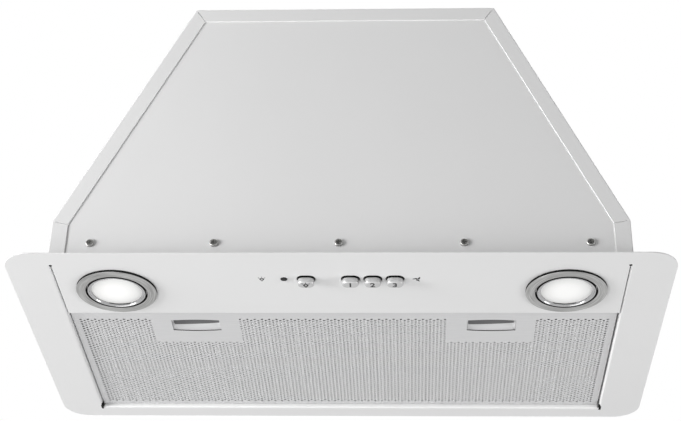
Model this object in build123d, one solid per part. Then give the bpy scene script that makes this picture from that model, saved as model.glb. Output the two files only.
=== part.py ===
from build123d import *
import os
from math import atan2, cos, degrees, pi, radians, sin, tan

# Built-in range hood. Millimetres, +Z up as installed, the front faces -Y.
# The origin is the centre of the cabinet cut-out, on the plate's upper (seating) face.

# White sheet steel
sheet = 0.8
bend_in = 0.7
bend_out = bend_in + sheet
slit = 0.8
relief_r = 1.3
corner_slot = 2.4
corner_slot_in = 1.4

# Flange plate and housing
body_w = 452
body_d = 261
body_h = 250
top_w = 254
knee_h = 36
side_overhang = 34
front_overhang = 12
rear_overhang = 15
plate_corner = 22
flange_w = 13
mitre_gap = 0.7
mitre_start = 3
stand_off = 0.8
wall_h = 23
fit = 0.2

# Control strip, from the plate's front edge, and the walls behind it
strip_d = 95
notch_back = 6.5
corner_slot_l = 6.6
lip_h = 14
rail_leg = 11
rail_h = 24

# Housing screws
screw_z = 16
screw_pitch = 97
screw_count = 5
side_screw_pitch = 160
head_r = 3.3
head_h = 1.9
shank_r = 1.9
shank_l = 4.5
screw_clearance = 0.2
cross_w = 0.9
cross_l = 3.6
cross_deep = 1.1

# Holes for fixing the housing to the cabinet's sides
fixing_z = 28.5
fixing_pitch = 120
fixing_r = 2.5

# Lamps
lamp_side = 48
lamp_d = 56.6
lamp_hole_r = 28
bezel_r = 32
bezel_edge = 1.8
bezel_proud = 2.2
bezel_lip_r = 24.2
bezel_in_r = 25.4
bezel_tube_r = 27.4
bezel_tube_h = 12
ring_out_r = 23.2
ring_in_r = 20.2
ring_proud = 2.6
ring_t = 3.7
ring_round = 0.6
glass_r = 22.5
glass_t = 2.0
glass_dome = 0.8
glass_play = 0.1
cup_r = 25.2
cup_rim_r = 21.5
cup_h = 24
cup_wall = 1.0
cup_round = 4
led_r = 15
led_t = 1.6
led_dome_r = 5
clip_w = 6
clip_t = 0.6
clip_reach = 7
clip_foot = 2
clip_count = 3

# Push buttons
button_pitch = 17.4
button_d = 39.3
button_w = 13
button_l = 9
button_corner = 4.3
button_proud = 5.8
button_round = 1.5
button_travel = 3.5
button_gap = 1.0
button_play = 0.15
button_rim = 0.9
button_rim_t = 2
rim_z = 2
stem_r = 2.4
stem_top = 17
stem_spare = 2.5
indicator_r = 2.7
indicator_proud = 0.5
indicator_play = 0.1

# Switch block
block_end = 9
block_l = 26
block_floor = 1.6
block_round = 2
spring_spare = 1.5
bracket_t = 1.0
bracket_w = 13
bracket_foot = 12
stem_space = 1
stud_r = 2
stud_h = 7
stud_play = 0.1
nut_r = 4
nut_t = 3.2

# Grease filter
filter_gap = 1.0
filter_shift = -0.4
filter_recess = 3.3
filter_sheet = 0.6
filter_h = 9
filter_lip = 5
filter_corner = 1.2
hinge_back = 8.6
hinge_up = 3.5
hinge_r = 1.5
hinge_play = 0.2
pin_head_r = 2.2
pin_head_t = 1.0
pin_end_gap = 0.3
pleat_pitch = 12
pleat_t = 0.4
grid_t = 0.8
grid_pitch = 24
grid_bar = 4
grid_margin = 8

# Filter latches
latch_x = 122
latch_plain_end = 150
pull_w = 40
pull_l = 19.3
pull_bow = 1.8
pull_d = 121
pull_deep = 5.4
pull_floor = 7
pull_edge = 0.6
pull_wall = 0.5
latch_t = 1.0
latch_play = 0.3
latch_over = 6
latch_end = 7
latch_stop_w = 8
latch_stop_t = 1.2
latch_travel = 5
tongue_w = 22
tongue_up = 2.6
tongue_t = 2
tongue_root = 1.5
tongue_catch = 2.5
tongue_play = 0.6
tongue_side = 1
cover_t = 0.6
cover_w = 64
cover_gap = 1.0
latch_spring_r = 2.2
latch_spring_spare = 1

# Springs
wire_r = 0.3
button_spring_r = 3.3
button_spring_turns = 5
latch_spring_turns = 5

# Outlet collar and its flaps
collar_r = 60
collar_wall = 2.5
collar_h = 40
collar_flange_r = 76
collar_flange_t = 2.5
collar_screw_r = 69
duct_hole_r = 56
flap_z = 10
flap_t = 1.2
flap_gap = 1.0
flap_pin_r = 1.5
flap_play = 0.08
knuckle_r = 3.2
knuckle_l = 14
knuckle_space = 0.5
ledge_w = 3
ledge_t = 1.5
ledge_drop = 0.6

# Blower
wheel_r = 60
wheel_w = 90
wheel_disc = 1.5
wheel_ring = 4
wheel_ring_in = 4
blade_count = 36
blade_l = 12
blade_t = 0.9
blade_bow = 2.2
hub_r = 9
hub_l = 24
shaft_r = 4
axis_z = 120
scroll_gap = 10
scroll_step = 8
scroll_wall = 1.5
scroll_half = 48
cutoff_r = 6
cutoff_run = 2
inlet_r = 46
inlet_lip = 3
inlet_lip_t = 1.5
top_flange_x = 60
top_flange_y = 56
top_flange_t = 3
lug_r = 4
lug_l = 8
lug_sink = 0.5
guard_bar = 2
guard_t = 2.4
guard_rings = 3

# Motor
motor_r = 38
motor_l = 54
motor_boss_r = 12
motor_boss_l = 3
motor_round = 4
shaft_play = 0.05
bracket_ring_r = 30
bracket_arm_w = 9
bracket_plate = 1.5
bush_r = 5
bush_l = 7
bracket_feet = 3
bracket_foot_r = 56
motor_screw_r = 22
shaft_end = 3

# Electrical pieces
capacitor_r = 15
capacitor_l = 56
capacitor_round = 1.5
tab_l = 6
tab_w = 6
tab_t = 0.8
capacitor_x = 95
capacitor_z = 150
clip_band = 1.2
clip_band_w = 14
clip_ear = 8.25
box_w = 66
box_h = 46
box_d = 28
box_x = 132
box_z = 78
box_wall = 2
lid_t = 2
grommet_x = 98
grommet_back = 35.5
grommet_r = 10
grommet_lip = 3
grommet_lip_t = 2.5
grommet_bore = 4.5
lead_r = 3
lamp_lead_r = 2
lead_clip_t = 1.2
lead_clip_l = 7
lead_clip_ear = 4.8
lead_clip_drop = 0.5
lead_grip = 4
lead_motor_y = -27
box_entry_x = 112
box_entry_z = 66
wall_clip_y = 17
wall_clip_down = 5
back_clip_x = -31
back_clip_z = 54

# Places worked out from the values above
plate_w = body_w + 2 * side_overhang
plate_y0 = -body_d / 2 - front_overhang
plate_y1 = body_d / 2 + rear_overhang
plate_d = plate_y1 - plate_y0
side_in = body_w / 2 - 2 * sheet
strip_end = side_in - slit
front_face = -body_d / 2
rear_in = body_d / 2 - 3 * sheet
strip_y = plate_y0 + strip_d
notch_y = front_face + notch_back
side_wall_y = rear_in - corner_slot_l
lamp_x = body_w / 2 - lamp_side
lamp_y = plate_y0 + lamp_d
lamp_seat_z = -sheet - ring_proud + ring_t
glass_z = lamp_seat_z - glass_t
button_y = plate_y0 + button_d
indicator_x = -2.5 * button_pitch
pull_y = plate_y0 + pull_d
latch_y0 = pull_y - pull_l / 2 - latch_over
latch_y1 = pull_y + pull_l / 2 + latch_end
hinge_y = rear_in - hinge_back
top_z = body_h - sheet
filter_x0 = -side_in + filter_gap + filter_shift
filter_x1 = side_in - filter_gap + filter_shift
filter_y0 = strip_y + filter_gap
filter_y1 = rear_in - filter_gap
filter_z0 = -sheet + filter_recess
filter_z1 = filter_z0 + filter_h
inner_z = filter_z0 + filter_sheet
slide_z = inner_z + latch_play
cover_z = filter_z1 - filter_sheet - latch_play
plain_y = plate_y0 + latch_plain_end
hinge_z = filter_z0 + hinge_up
tongue_z = slide_z + tongue_up
wall_clip_z = wall_h - wall_clip_down
scroll_r = wheel_r + scroll_gap
outlet_l = scroll_r + 2.5 * scroll_step - cutoff_r - cutoff_run
axis_y = -outlet_l / 2 - cutoff_r - cutoff_run
motor_x0 = scroll_half + scroll_wall + bush_l + bracket_plate
motor_x1 = motor_x0 + motor_l
spring_top = rim_z + button_rim_t + button_travel + 2 * wire_r * button_spring_turns + spring_spare
block_h = stem_top + button_travel + stem_spare
latch_spring_l = latch_travel + 2 * wire_r * latch_spring_turns + latch_spring_spare
block_x0 = -2.5 * button_pitch - block_end
block_x1 = 2.5 * button_pitch + block_end
back_in = body_d / 2 - 2 * sheet
lead_y = back_in - box_d / 2
grommet_y = body_d / 2 - grommet_back


def block(x, y, z):
    # A box between the low and high values of each pair
    spans = (x, y, z)
    size = [high - low for low, high in spans]
    middle = [(high + low) / 2 for low, high in spans]
    return Pos(*middle) * Box(*size)


def rod(radius, start, end):
    # A round bar from one point to another
    run = Vector(*end) - Vector(*start)
    place = Plane(origin=start, z_dir=run)
    return place * Cylinder(radius, run.length, align=(Align.CENTER, Align.CENTER, Align.MIN))


def slab(points, y):
    # A polygon of (x, z) points, thick between the two y values
    face = make_face(Polyline(*[(px, y[0], pz) for px, pz in points], close=True))
    return extrude(face, y[1] - y[0], dir=(0, 1, 0))


def plank(points, x):
    # A polygon of (y, z) points, thick between the two x values
    face = make_face(Polyline(*[(x[0], py, pz) for py, pz in points], close=True))
    return extrude(face, x[1] - x[0], dir=(1, 0, 0))


def rounded(width, length, corner, z):
    # A plate with rounded corners between two heights
    return extrude(Pos(0, 0, z[0]) * RectangleRounded(width, length, corner), z[1] - z[0])


def mirrored(shape):
    return mirror(shape, about=Plane.YZ)


def coil(radius, length, turns):
    # A compression spring of round wire, standing on z = 0
    rise = length - 2 * wire_r
    path = Pos(0, 0, wire_r) * Helix(rise / turns, rise, radius)
    section = Plane(origin=path @ 0, z_dir=path % 0) * Circle(wire_r)
    return sweep(section, path=path, is_frenet=True)


def cross_screw(length):
    # A pan head with a cross recess on z = 0, its shank down -Z
    head = Cylinder(head_r, head_h, align=(Align.CENTER, Align.CENTER, Align.MIN))
    head = fillet(head.edges().group_by(Axis.Z)[-1], head_h * 0.6)
    shank = rod(shank_r, (0, 0, 0), (0, 0, -length))
    floor = head_h - cross_deep
    slots = block((-cross_l / 2, cross_l / 2), (-cross_w / 2, cross_w / 2), (floor, head_h + 1))
    slots += block((-cross_w / 2, cross_w / 2), (-cross_l / 2, cross_l / 2), (floor, head_h + 1))
    return head + shank - slots


def outline(inset, bottom=stand_off):
    # The housing's front shape, moved inwards by a distance
    lean = atan2((body_w - top_w) / 2, body_h - knee_h)
    x_side = body_w / 2 - inset
    z_knee = knee_h - inset * tan(lean / 2)
    x_top = top_w / 2 - inset * tan((pi / 2 - lean) / 2)
    half = [(x_side, bottom), (x_side, z_knee), (x_top, body_h - inset)]
    return half + [(-px, pz) for px, pz in reversed(half)]


def solid_outline(inset, y, bottom=stand_off, radius=0.0):
    # The outline as a block, with the bends at the knees and the top rounded
    shape = slab(outline(inset, bottom), y)
    if radius:
        bends = shape.edges().filter_by(Axis.Y).group_by(Axis.Z)[1:]
        shape = fillet(bends[0] + bends[1], radius)
    return shape


# Flange plate, control strip and the walls turned up from it


def upturn(length, height):
    # A bend along Y: the plate lies towards +X and the wall's face is at x = 0
    centre = bend_out - sheet
    corner = Circle(bend_out) - Circle(bend_in)
    corner &= Pos(-bend_out / 2, -bend_out / 2) * Rectangle(bend_out, bend_out)
    wall = Rectangle(sheet, height - centre, align=(Align.MIN, Align.MIN))
    profile = Pos(bend_out, centre) * corner + Pos(0, centre) * wall
    return extrude(Plane.XZ * profile, length / 2, both=True)


def button_xs():
    return [-1.5 * button_pitch, 0.5 * button_pitch, 1.5 * button_pitch, 2.5 * button_pitch]


def base_panel():
    middle_y = (plate_y0 + plate_y1) / 2
    plate = Pos(0, middle_y) * rounded(plate_w, plate_d, plate_corner, (-sheet, 0))
    side_edge = side_in + bend_out
    through = (-sheet - 1, 1)
    plate -= block((-side_edge, side_edge), (strip_y, side_wall_y), through)
    plate -= block((-strip_end, strip_end), (strip_y - bend_out, strip_y + 1), through)
    rear_x = side_in - corner_slot_in
    plate -= block((-rear_x, rear_x), (side_wall_y - 1, rear_in + bend_out), through)
    side_length = side_wall_y - notch_y
    side_middle = (side_wall_y + notch_y) / 2
    for side, turn in ((1, 0), (-1, 180)):
        edge = (strip_end, side_edge) if side > 0 else (-side_edge, -strip_end)
        plate -= block(edge, (notch_y, strip_y + 1), through)
        plate += Pos(side * side_in, side_middle) * Rot(0, 0, turn) * upturn(side_length, wall_h)
        relief_x = side * (side_in - slit / 2)
        plate -= rod(relief_r, (relief_x, notch_y, through[0]), (relief_x, notch_y, wall_h + 1))
        corner = sorted((side * rear_x, side * (rear_x + corner_slot)))
        plate -= block(corner, (side_wall_y, rear_in), (through[0], wall_h + 1))
    plate += Pos(0, strip_y) * Rot(0, 0, -90) * upturn(2 * strip_end, lip_h)
    plate += Pos(0, rear_in) * Rot(0, 0, 90) * upturn(2 * rear_x, wall_h)

    for side in (1, -1):
        lamp_at = (side * lamp_x, lamp_y)
        plate -= rod(lamp_hole_r, (*lamp_at, through[0]), (*lamp_at, through[1]))
        slot_half = tongue_w / 2 + tongue_side
        slot_x = (side * latch_x - slot_half, side * latch_x + slot_half)
        slot_z = (tongue_z - tongue_play, tongue_z + tongue_t + tongue_play)
        plate -= block(slot_x, (strip_y - 2, strip_y + 1), slot_z)
        hook_x = (side * (side_in - 1), side * (body_w / 2 - sheet))
        hook = (min(hook_x), max(hook_x))
        hook_r = hinge_r + hinge_play
        plate -= block(hook, (hinge_y, side_wall_y + 1), (hinge_z - hook_r, hinge_z + hook_r))
        plate -= rod(hook_r, (hook[0], hinge_y, hinge_z), (hook[1], hinge_y, hinge_z))
        screw_x = side * (side_in + sheet / 2)
        for end in (1, -1):
            at = (end * side_screw_pitch / 2, screw_z)
            plate -= rod(shank_r, (screw_x - 1, *at), (screw_x + 1, *at))
        stud_x = side * (block_x1 + bracket_foot / 2)
        plate += rod(stud_r, (stud_x, button_y, -sheet / 2), (stud_x, button_y, stud_h))

    hole = (button_w + 2 * button_gap, button_l + 2 * button_gap, button_corner + button_gap)
    for px in button_xs():
        plate -= Pos(px, button_y) * rounded(*hole, through)
    lens_at = (indicator_x, button_y)
    plate -= rod(indicator_r + indicator_play, (*lens_at, through[0]), (*lens_at, through[1]))
    for px in screw_xs():
        plate -= rod(shank_r, (px, rear_in - 1, screw_z), (px, rear_in + 2, screw_z))
    return plate


def screw_xs():
    first = -screw_pitch * (screw_count - 1) / 2
    return [first + i * screw_pitch for i in range(screw_count)]


# Housing sheets


def housing_wrap():
    ends = (front_face, -front_face)
    shell = solid_outline(0, ends, radius=bend_out)
    folds = [e for e in shell.edges() if abs(abs(e.center().Y) + front_face) < 0.01]
    folds = [e for e in folds if e.center().Z > stand_off + 0.01]
    shell = fillet(folds, bend_out - bend_in / 2)
    inside = (ends[0] + sheet, ends[1] - sheet)
    shell -= solid_outline(sheet, inside, bottom=0, radius=bend_in)
    shell -= solid_outline(flange_w, (ends[0] - 1, ends[1] + 1), bottom=0)
    corners = list(zip(outline(0)[1:3], outline(flange_w)[1:3]))
    for (x_out, z_out), (x_in, z_in) in corners:
        turn = atan2(z_out - z_in, x_out - x_in)
        gap = Rot(0, -degrees(turn), 0) * Box(4 * flange_w, 2 * sheet, mitre_gap)
        reach = mitre_start + 2 * flange_w
        middle = (x_out - reach * cos(turn), z_out - reach * sin(turn))
        for py in (ends[0] + sheet / 2, ends[1] - sheet / 2):
            cut = Pos(middle[0], py, middle[1]) * gap
            shell -= cut
            shell -= mirrored(cut)
    shell -= rod(duct_hole_r, (0, 0, top_z - 1), (0, 0, body_h + 1))
    shell -= rod(grommet_r, (grommet_x, grommet_y, top_z - 1), (grommet_x, grommet_y, body_h + 1))
    for px, py in collar_screw_places():
        shell -= rod(shank_r + screw_clearance, (px, py, top_z - 1), (px, py, body_h + 1))
    for side in (1, -1):
        wall = (side * (body_w / 2 - sheet - 1), side * (body_w / 2 + 1))
        for end in (1, -1):
            place = (end * side_screw_pitch / 2, screw_z)
            hole_r = shank_r + screw_clearance
            shell -= rod(hole_r, (wall[0], *place), (wall[1], *place))
            place = (end * fixing_pitch / 2, fixing_z)
            shell -= rod(fixing_r, (wall[0], *place), (wall[1], *place))
    return shell


def end_panel(front):
    # The flat panel behind the wrap's flanges, at the front or at the back
    outer = front_face + sheet
    panel = solid_outline(sheet + fit, (outer, outer + sheet), radius=bend_in)
    for px in screw_xs():
        hole = rod(shank_r + screw_clearance, (px, outer - 1, screw_z), (px, outer + 2, screw_z))
        panel -= hole
    return panel if front else mirror(panel, about=Plane.XZ)


def front_rail():
    # An angle behind the front panel's foot, welded to the plate, that its screws bite into
    length = side_in - 2 * rail_leg
    face = front_face + 2 * sheet
    rail = block((-length, length), (face, face + sheet), (0, rail_h))
    rail += block((-length, length), (face, face + rail_leg), (0, sheet))
    for px in screw_xs():
        rail -= rod(shank_r, (px, face - 1, screw_z), (px, face + 2, screw_z))
    return rail


def housing_screws():
    screw = cross_screw(shank_l)
    screws = []
    for px in screw_xs():
        screws.append(Pos(px, front_face + sheet, screw_z) * Rot(90, 0, 0) * screw)
        screws.append(Pos(px, -front_face - sheet, screw_z) * Rot(-90, 0, 0) * screw)
    for side in (1, -1):
        for end in (1, -1):
            at = Pos(side * body_w / 2, end * side_screw_pitch / 2, screw_z)
            screws.append(at * Rot(0, side * 90, 0) * screw)
    return Compound(children=screws)


# Lamps


def lamp_bezel(side):
    # A flat brushed ring, a little proud towards its inner edge, with a tube through the plate.
    # Its inner lip is the seat that the lamp's cup stands on.
    face = -sheet - bezel_proud
    profile = [
        (bezel_tube_r, -sheet),
        (bezel_r, -sheet),
        (bezel_r, -sheet - bezel_edge),
        (bezel_lip_r, face),
        (bezel_lip_r, lamp_seat_z),
        (bezel_in_r, lamp_seat_z),
        (bezel_in_r, bezel_tube_h),
        (bezel_tube_r, bezel_tube_h),
    ]
    ring = revolve(make_face(Polyline(*[(r, 0, z) for r, z in profile], close=True)), Axis.Z)
    return Pos(side * lamp_x, lamp_y) * ring


def lamp_ring(side):
    # The chromed ring round the glass, under the cup's rim, with a gap all round inside the bezel
    face = -sheet - ring_proud
    ring = Cylinder(ring_out_r, ring_t, align=(Align.CENTER, Align.CENTER, Align.MIN))
    ring -= Cylinder(ring_in_r, 3 * ring_t)
    ring = fillet(ring.edges().group_by(Axis.Z)[0], ring_round)
    seat = rod(glass_r + glass_play, (0, 0, ring_t - glass_t), (0, 0, ring_t + 1))
    return Pos(side * lamp_x, lamp_y, face) * (ring - seat)


def lamp_glass(side):
    # Frosted glass with a shallow dome, seated in the ring
    disc = rod(glass_r, (0, 0, glass_z), (0, 0, lamp_seat_z))
    centre = rod(ring_in_r - glass_play, (0, 0, glass_z - glass_dome), (0, 0, glass_z))
    centre = fillet(centre.edges().group_by(Axis.Z)[0], glass_dome * 0.8)
    return Pos(side * lamp_x, lamp_y) * (disc + centre)


def lamp_cup(side):
    # The pressed can above the glass. Its rim, turned in at the mouth, carries ring and glass.
    can = rod(cup_r, (0, 0, lamp_seat_z), (0, 0, cup_h))
    can = fillet(can.edges().group_by(Axis.Z)[-1], cup_round)
    can -= rod(cup_rim_r, (0, 0, lamp_seat_z - 1), (0, 0, lamp_seat_z + cup_wall + 1))
    hollow = rod(cup_r - cup_wall, (0, 0, lamp_seat_z + cup_wall), (0, 0, cup_h - cup_wall))
    hollow = fillet(hollow.edges().group_by(Axis.Z)[-1], cup_round - cup_wall)
    inlet = rod(lamp_lead_r, (0, 0, cup_h - 2 * cup_wall), (0, 0, cup_h + 1))
    return Pos(side * lamp_x, lamp_y) * (can - hollow - inlet)


def lamp_boards():
    # A round light board with its dome, under the top of each cup
    boards = []
    for side in (1, -1):
        top = cup_h - cup_wall
        board = rod(led_r, (0, 0, top - led_t), (0, 0, top))
        dome = Pos(0, 0, top - led_t) * Sphere(led_dome_r)
        dome &= rod(led_r, (0, 0, top - led_t - led_dome_r), (0, 0, top - led_t))
        boards.append(Pos(side * lamp_x, lamp_y) * (board + dome))
    return Compound(children=boards)


def lamp_clips():
    # Spring clips from each bezel's tube to the plate's upper face
    clips = []
    path = [
        (bezel_tube_r, bezel_tube_h),
        (bezel_tube_r + clip_t, bezel_tube_h),
        (bezel_tube_r + clip_t, clip_reach),
        (bezel_tube_r + clip_reach + clip_t, clip_t),
        (bezel_tube_r + clip_reach + clip_foot, clip_t),
        (bezel_tube_r + clip_reach + clip_foot, 0),
        (bezel_tube_r + clip_reach, 0),
        (bezel_tube_r, clip_reach - clip_t),
    ]
    clip = slab(path, (-clip_w / 2, clip_w / 2))
    clip -= rod(bezel_tube_r, (0, 0, -1), (0, 0, bezel_tube_h + 1))
    for side in (1, -1):
        for i in range(clip_count):
            turn = Rot(0, 0, 90 + i * 360 / clip_count)
            clips.append(Pos(side * lamp_x, lamp_y) * turn * clip)
    return Compound(children=clips)


# Buttons and switch block


def push_button(px):
    # A pillow-shaped cap with a rim that keeps it in the block, and a stem into the switch
    low = -sheet - button_proud
    cap = rounded(button_w, button_l, button_corner, (low, rim_z))
    cap = fillet(cap.edges().group_by(Axis.Z)[0], button_round)
    rim_size = (button_w + 2 * button_rim, button_l + 2 * button_rim, button_corner + button_rim)
    rim = rounded(*rim_size, (rim_z, rim_z + button_rim_t))
    stem = rod(stem_r, (0, 0, rim_z), (0, 0, stem_top))
    return Pos(px, button_y) * (cap + rim + stem)


def switch_block():
    body = block(
        (block_x0, block_x1),
        (button_y - block_l / 2, button_y + block_l / 2),
        (0, block_h),
    )
    body = fillet(body.edges().filter_by(Axis.Z), block_round)
    mouth = (button_w + 2 * button_play, button_l + 2 * button_play, button_corner + button_play)
    play = button_rim + button_play
    pocket = (button_w + 2 * play, button_l + 2 * play, button_corner + play)
    for px in button_xs():
        at = Pos(px, button_y)
        body -= at * rounded(*mouth, (-1, block_floor + 1))
        body -= at * rounded(*pocket, (block_floor, spring_top))
        body -= at * rod(stem_r + 2 * button_play, (0, 0, 0), (0, 0, block_h + 1))
    lens = Pos(indicator_x, button_y) * rod(indicator_r, (0, 0, -1), (0, 0, spring_top))
    return body - lens


def switch_bracket():
    # A strap over the switch block with a foot at each end
    width = (button_y - bracket_w / 2, button_y + bracket_w / 2)
    high = block_h + bracket_t
    out = block_x1 + bracket_foot
    strap = block((-block_x1 - bracket_t, block_x1 + bracket_t), width, (block_h, high))
    for side in (1, -1):
        leg = sorted((side * block_x1, side * (block_x1 + bracket_t)))
        foot = sorted((side * block_x1, side * out))
        strap += block(leg, width, (0, high))
        strap += block(foot, width, (0, bracket_t))
    for side in (1, -1):
        stud = side * (block_x1 + bracket_foot / 2)
        strap -= rod(stud_r + stud_play, (stud, button_y, -1), (stud, button_y, bracket_t + 1))
    for px in button_xs():
        strap -= rod(stem_r + stem_space, (px, button_y, block_h - 1), (px, button_y, high + 1))
    return strap


def switch_nuts():
    nuts = []
    for side in (1, -1):
        flat = Pos(0, 0, bracket_t) * RegularPolygon(nut_r, 6)
        nut = extrude(flat, nut_t) - rod(stud_r, (0, 0, 0), (0, 0, stud_h + 1))
        nuts.append(Pos(side * (block_x1 + bracket_foot / 2), button_y) * nut)
    return Compound(children=nuts)


def indicator_lens():
    low = -sheet - indicator_proud
    lens = rod(indicator_r, (0, 0, low), (0, 0, spring_top))
    lens = fillet(lens.edges().group_by(Axis.Z)[0], indicator_proud)
    return Pos(indicator_x, button_y) * lens


def button_spring(px):
    low = rim_z + button_rim_t
    spring = coil(button_spring_r, spring_top - low, button_spring_turns)
    return Pos(px, button_y, low) * spring


# Grease filter and its latches


def filter_tray():
    # The face sheet with its edges turned up and a lip turned in
    x, y = (filter_x0, filter_x1), (filter_y0, filter_y1)
    tray = block(x, y, (filter_z0, filter_z1))
    tray = fillet(tray.edges().group_by(Axis.Z)[0], filter_corner)
    inner_x = (x[0] + filter_sheet, x[1] - filter_sheet)
    inner_y = (y[0] + filter_sheet, y[1] - filter_sheet)
    hollow = block(inner_x, inner_y, (inner_z, filter_z1 - filter_sheet))
    hollow = fillet(hollow.edges().group_by(Axis.Z)[0], filter_corner - filter_sheet)
    tray -= hollow
    lip_x = (x[0] + filter_lip, x[1] - filter_lip)
    lip_y = (y[0] + filter_lip, y[1] - filter_lip)
    tray -= block(lip_x, lip_y, (inner_z + 1, filter_z1 + 1))
    for side in (1, -1):
        middle = side * latch_x
        tray -= Pos(middle, pull_y, filter_z0 - 1) * pull_window()
        slot_half = tongue_w / 2 + tongue_side
        slot_x = (middle - slot_half, middle + slot_half)
        slot_z = (tongue_z - tongue_play, tongue_z + tongue_t + tongue_play)
        tray -= block(slot_x, (filter_y0 - 1, filter_y0 + 1), slot_z)
        edge = x[1] if side > 0 else x[0]
        tray -= rod(hinge_r, (edge - 2, hinge_y, hinge_z), (edge + 2, hinge_y, hinge_z))
    return tray


def pull_window():
    # The finger hole's front and rear edges both bow outwards
    x, end, crown = pull_w / 2, pull_l / 2 - pull_bow, pull_l / 2
    edges = [
        ThreePointArc((-x, -end), (0, -crown), (x, -end)),
        Line((x, -end), (x, end)),
        ThreePointArc((x, end), (0, crown), (-x, end)),
        Line((-x, end), (-x, -end)),
    ]
    return extrude(make_face(edges), filter_sheet + 2)


def filter_pins():
    # Hinge studs riveted through the tray's side walls near its rear edge
    pins = []
    for side in (1, -1):
        wall = filter_x1 if side > 0 else filter_x0
        inner = wall - side * filter_sheet
        end = side * (body_w / 2 - sheet - pin_end_gap)
        pin = rod(hinge_r, (inner, hinge_y, hinge_z), (end, hinge_y, hinge_z))
        pin += rod(pin_head_r, (inner - side * pin_head_t, hinge_y, hinge_z), (inner, hinge_y, hinge_z))
        pins.append(pin)
    return Compound(children=pins)


def latch_space(side, z):
    # The room that a latch and its cover take out of the filter's layers
    half = cover_w / 2 + cover_gap
    middle = side * latch_x
    return block((middle - half, middle + half), (filter_y0, plain_y + cover_gap), z)


def filter_mesh():
    # Pleated aluminium mesh between the face and the grid
    z0, z1 = inner_z, filter_z1 - filter_sheet - grid_t
    side_gap = filter_sheet + pin_head_t + fit
    x0, x1 = filter_x0 + side_gap, filter_x1 - side_gap
    count = 2 * int((x1 - x0) / pleat_pitch)
    step = (x1 - x0) / count
    low, high = z0, z1 - pleat_t
    folds = [(x0 + i * step, low if i % 2 == 0 else high) for i in range(count + 1)]
    face = folds + [(px, pz + pleat_t) for px, pz in reversed(folds)]
    mesh = slab(face, (filter_y0 + filter_corner, filter_y1 - filter_corner))
    for side in (1, -1):
        mesh -= latch_space(side, (z0 - 1, z1 + 1))
    return mesh


def filter_grid():
    # The open grid that keeps the mesh in the tray
    x = (filter_x0 + filter_sheet + fit, filter_x1 - filter_sheet - fit)
    y = (filter_y0 + filter_sheet + fit, filter_y1 - filter_sheet - fit)
    top = filter_z1 - filter_sheet
    grid = block(x, y, (top - grid_t, top))
    for side in (1, -1):
        grid -= latch_space(side, (top - 2, top + 1))
    columns = int((x[1] - x[0] - 2 * grid_margin) / grid_pitch)
    rows = int((y[1] - y[0] - 2 * grid_margin) / grid_pitch)
    gap = grid_pitch - grid_bar
    start_x = (x[0] + x[1]) / 2 - (columns - 1) * grid_pitch / 2
    start_y = (y[0] + y[1]) / 2 - (rows - 1) * grid_pitch / 2
    edge = cover_w / 2 + cover_gap + grid_bar
    cuts = []
    for i in range(columns):
        for j in range(rows):
            px, py = start_x + i * grid_pitch, start_y + j * grid_pitch
            near = min(abs(px - latch_x), abs(px + latch_x)) < edge + gap / 2
            if near and py - gap / 2 < plain_y + cover_gap + grid_bar:
                continue
            cuts.append(Pos(px, py, top - grid_t / 2) * Box(gap, gap, 3))
    return grid - cuts


def latch_slide(side):
    # A sliding plate with a finger pull pressed up into it and a tongue at its front
    half = pull_w / 2 + latch_over
    slide = block((-half, half), (latch_y0, latch_y1), (slide_z, slide_z + latch_t))
    cup_half = pull_w / 2 - pull_edge
    front = pull_y - pull_l / 2 + pull_edge
    back = pull_y + pull_l / 2 - pull_edge
    floor = slide_z + pull_deep
    shell = [
        (front - latch_t, slide_z),
        (front - latch_t, floor + latch_t),
        (front + pull_floor, floor + latch_t),
        (back + latch_t, slide_z + latch_t),
        (back + latch_t, slide_z),
    ]
    hollow = [
        (front, slide_z - 1),
        (front, floor),
        (front + pull_floor - pull_wall, floor),
        (back, slide_z + latch_t - pull_wall),
        (back, slide_z - 1),
    ]
    slide += plank(shell, (-cup_half - latch_t, cup_half + latch_t))
    slide -= plank(hollow, (-cup_half, cup_half))
    tip = filter_y0 - filter_gap - sheet - tongue_catch
    tongue_x = (-tongue_w / 2, tongue_w / 2)
    root = latch_y0 + tongue_root
    slide += block(tongue_x, (latch_y0, root), (slide_z, tongue_z + tongue_t))
    slide += block(tongue_x, (tip, root), (tongue_z, tongue_z + tongue_t))
    stop_x = (-latch_stop_w / 2, latch_stop_w / 2)
    stop_z = (slide_z, cover_z - cover_t - latch_play)
    slide += block(stop_x, (latch_y1 - latch_stop_t, latch_y1), stop_z)
    return Pos(side * latch_x) * slide


def latch_spring(side):
    middle_z = (slide_z + latch_t + cover_z - cover_t) / 2
    spring = coil(latch_spring_r, latch_spring_l, latch_spring_turns)
    return Pos(side * latch_x, latch_y1, middle_z) * Rot(-90, 0, 0) * spring


def latch_covers():
    # A pressed cover over each latch, riveted inside the tray
    covers = []
    back = latch_y1 + latch_spring_l + cover_t
    front = filter_y0 + filter_corner
    x = (-cover_w / 2, cover_w / 2)
    cover = block(x, (front, back), (inner_z, cover_z))
    inner_x = (x[0] + cover_t, x[1] - cover_t)
    cover -= block(inner_x, (front - 1, back - cover_t), (inner_z - 1, cover_z - cover_t))
    for side in (1, -1):
        covers.append(Pos(side * latch_x) * cover)
    return Compound(children=covers)


# Outlet collar


def collar_screw_places():
    reach = collar_screw_r * sin(pi / 4)
    return [(sx * reach, sy * reach) for sx in (1, -1) for sy in (1, -1)]


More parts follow.
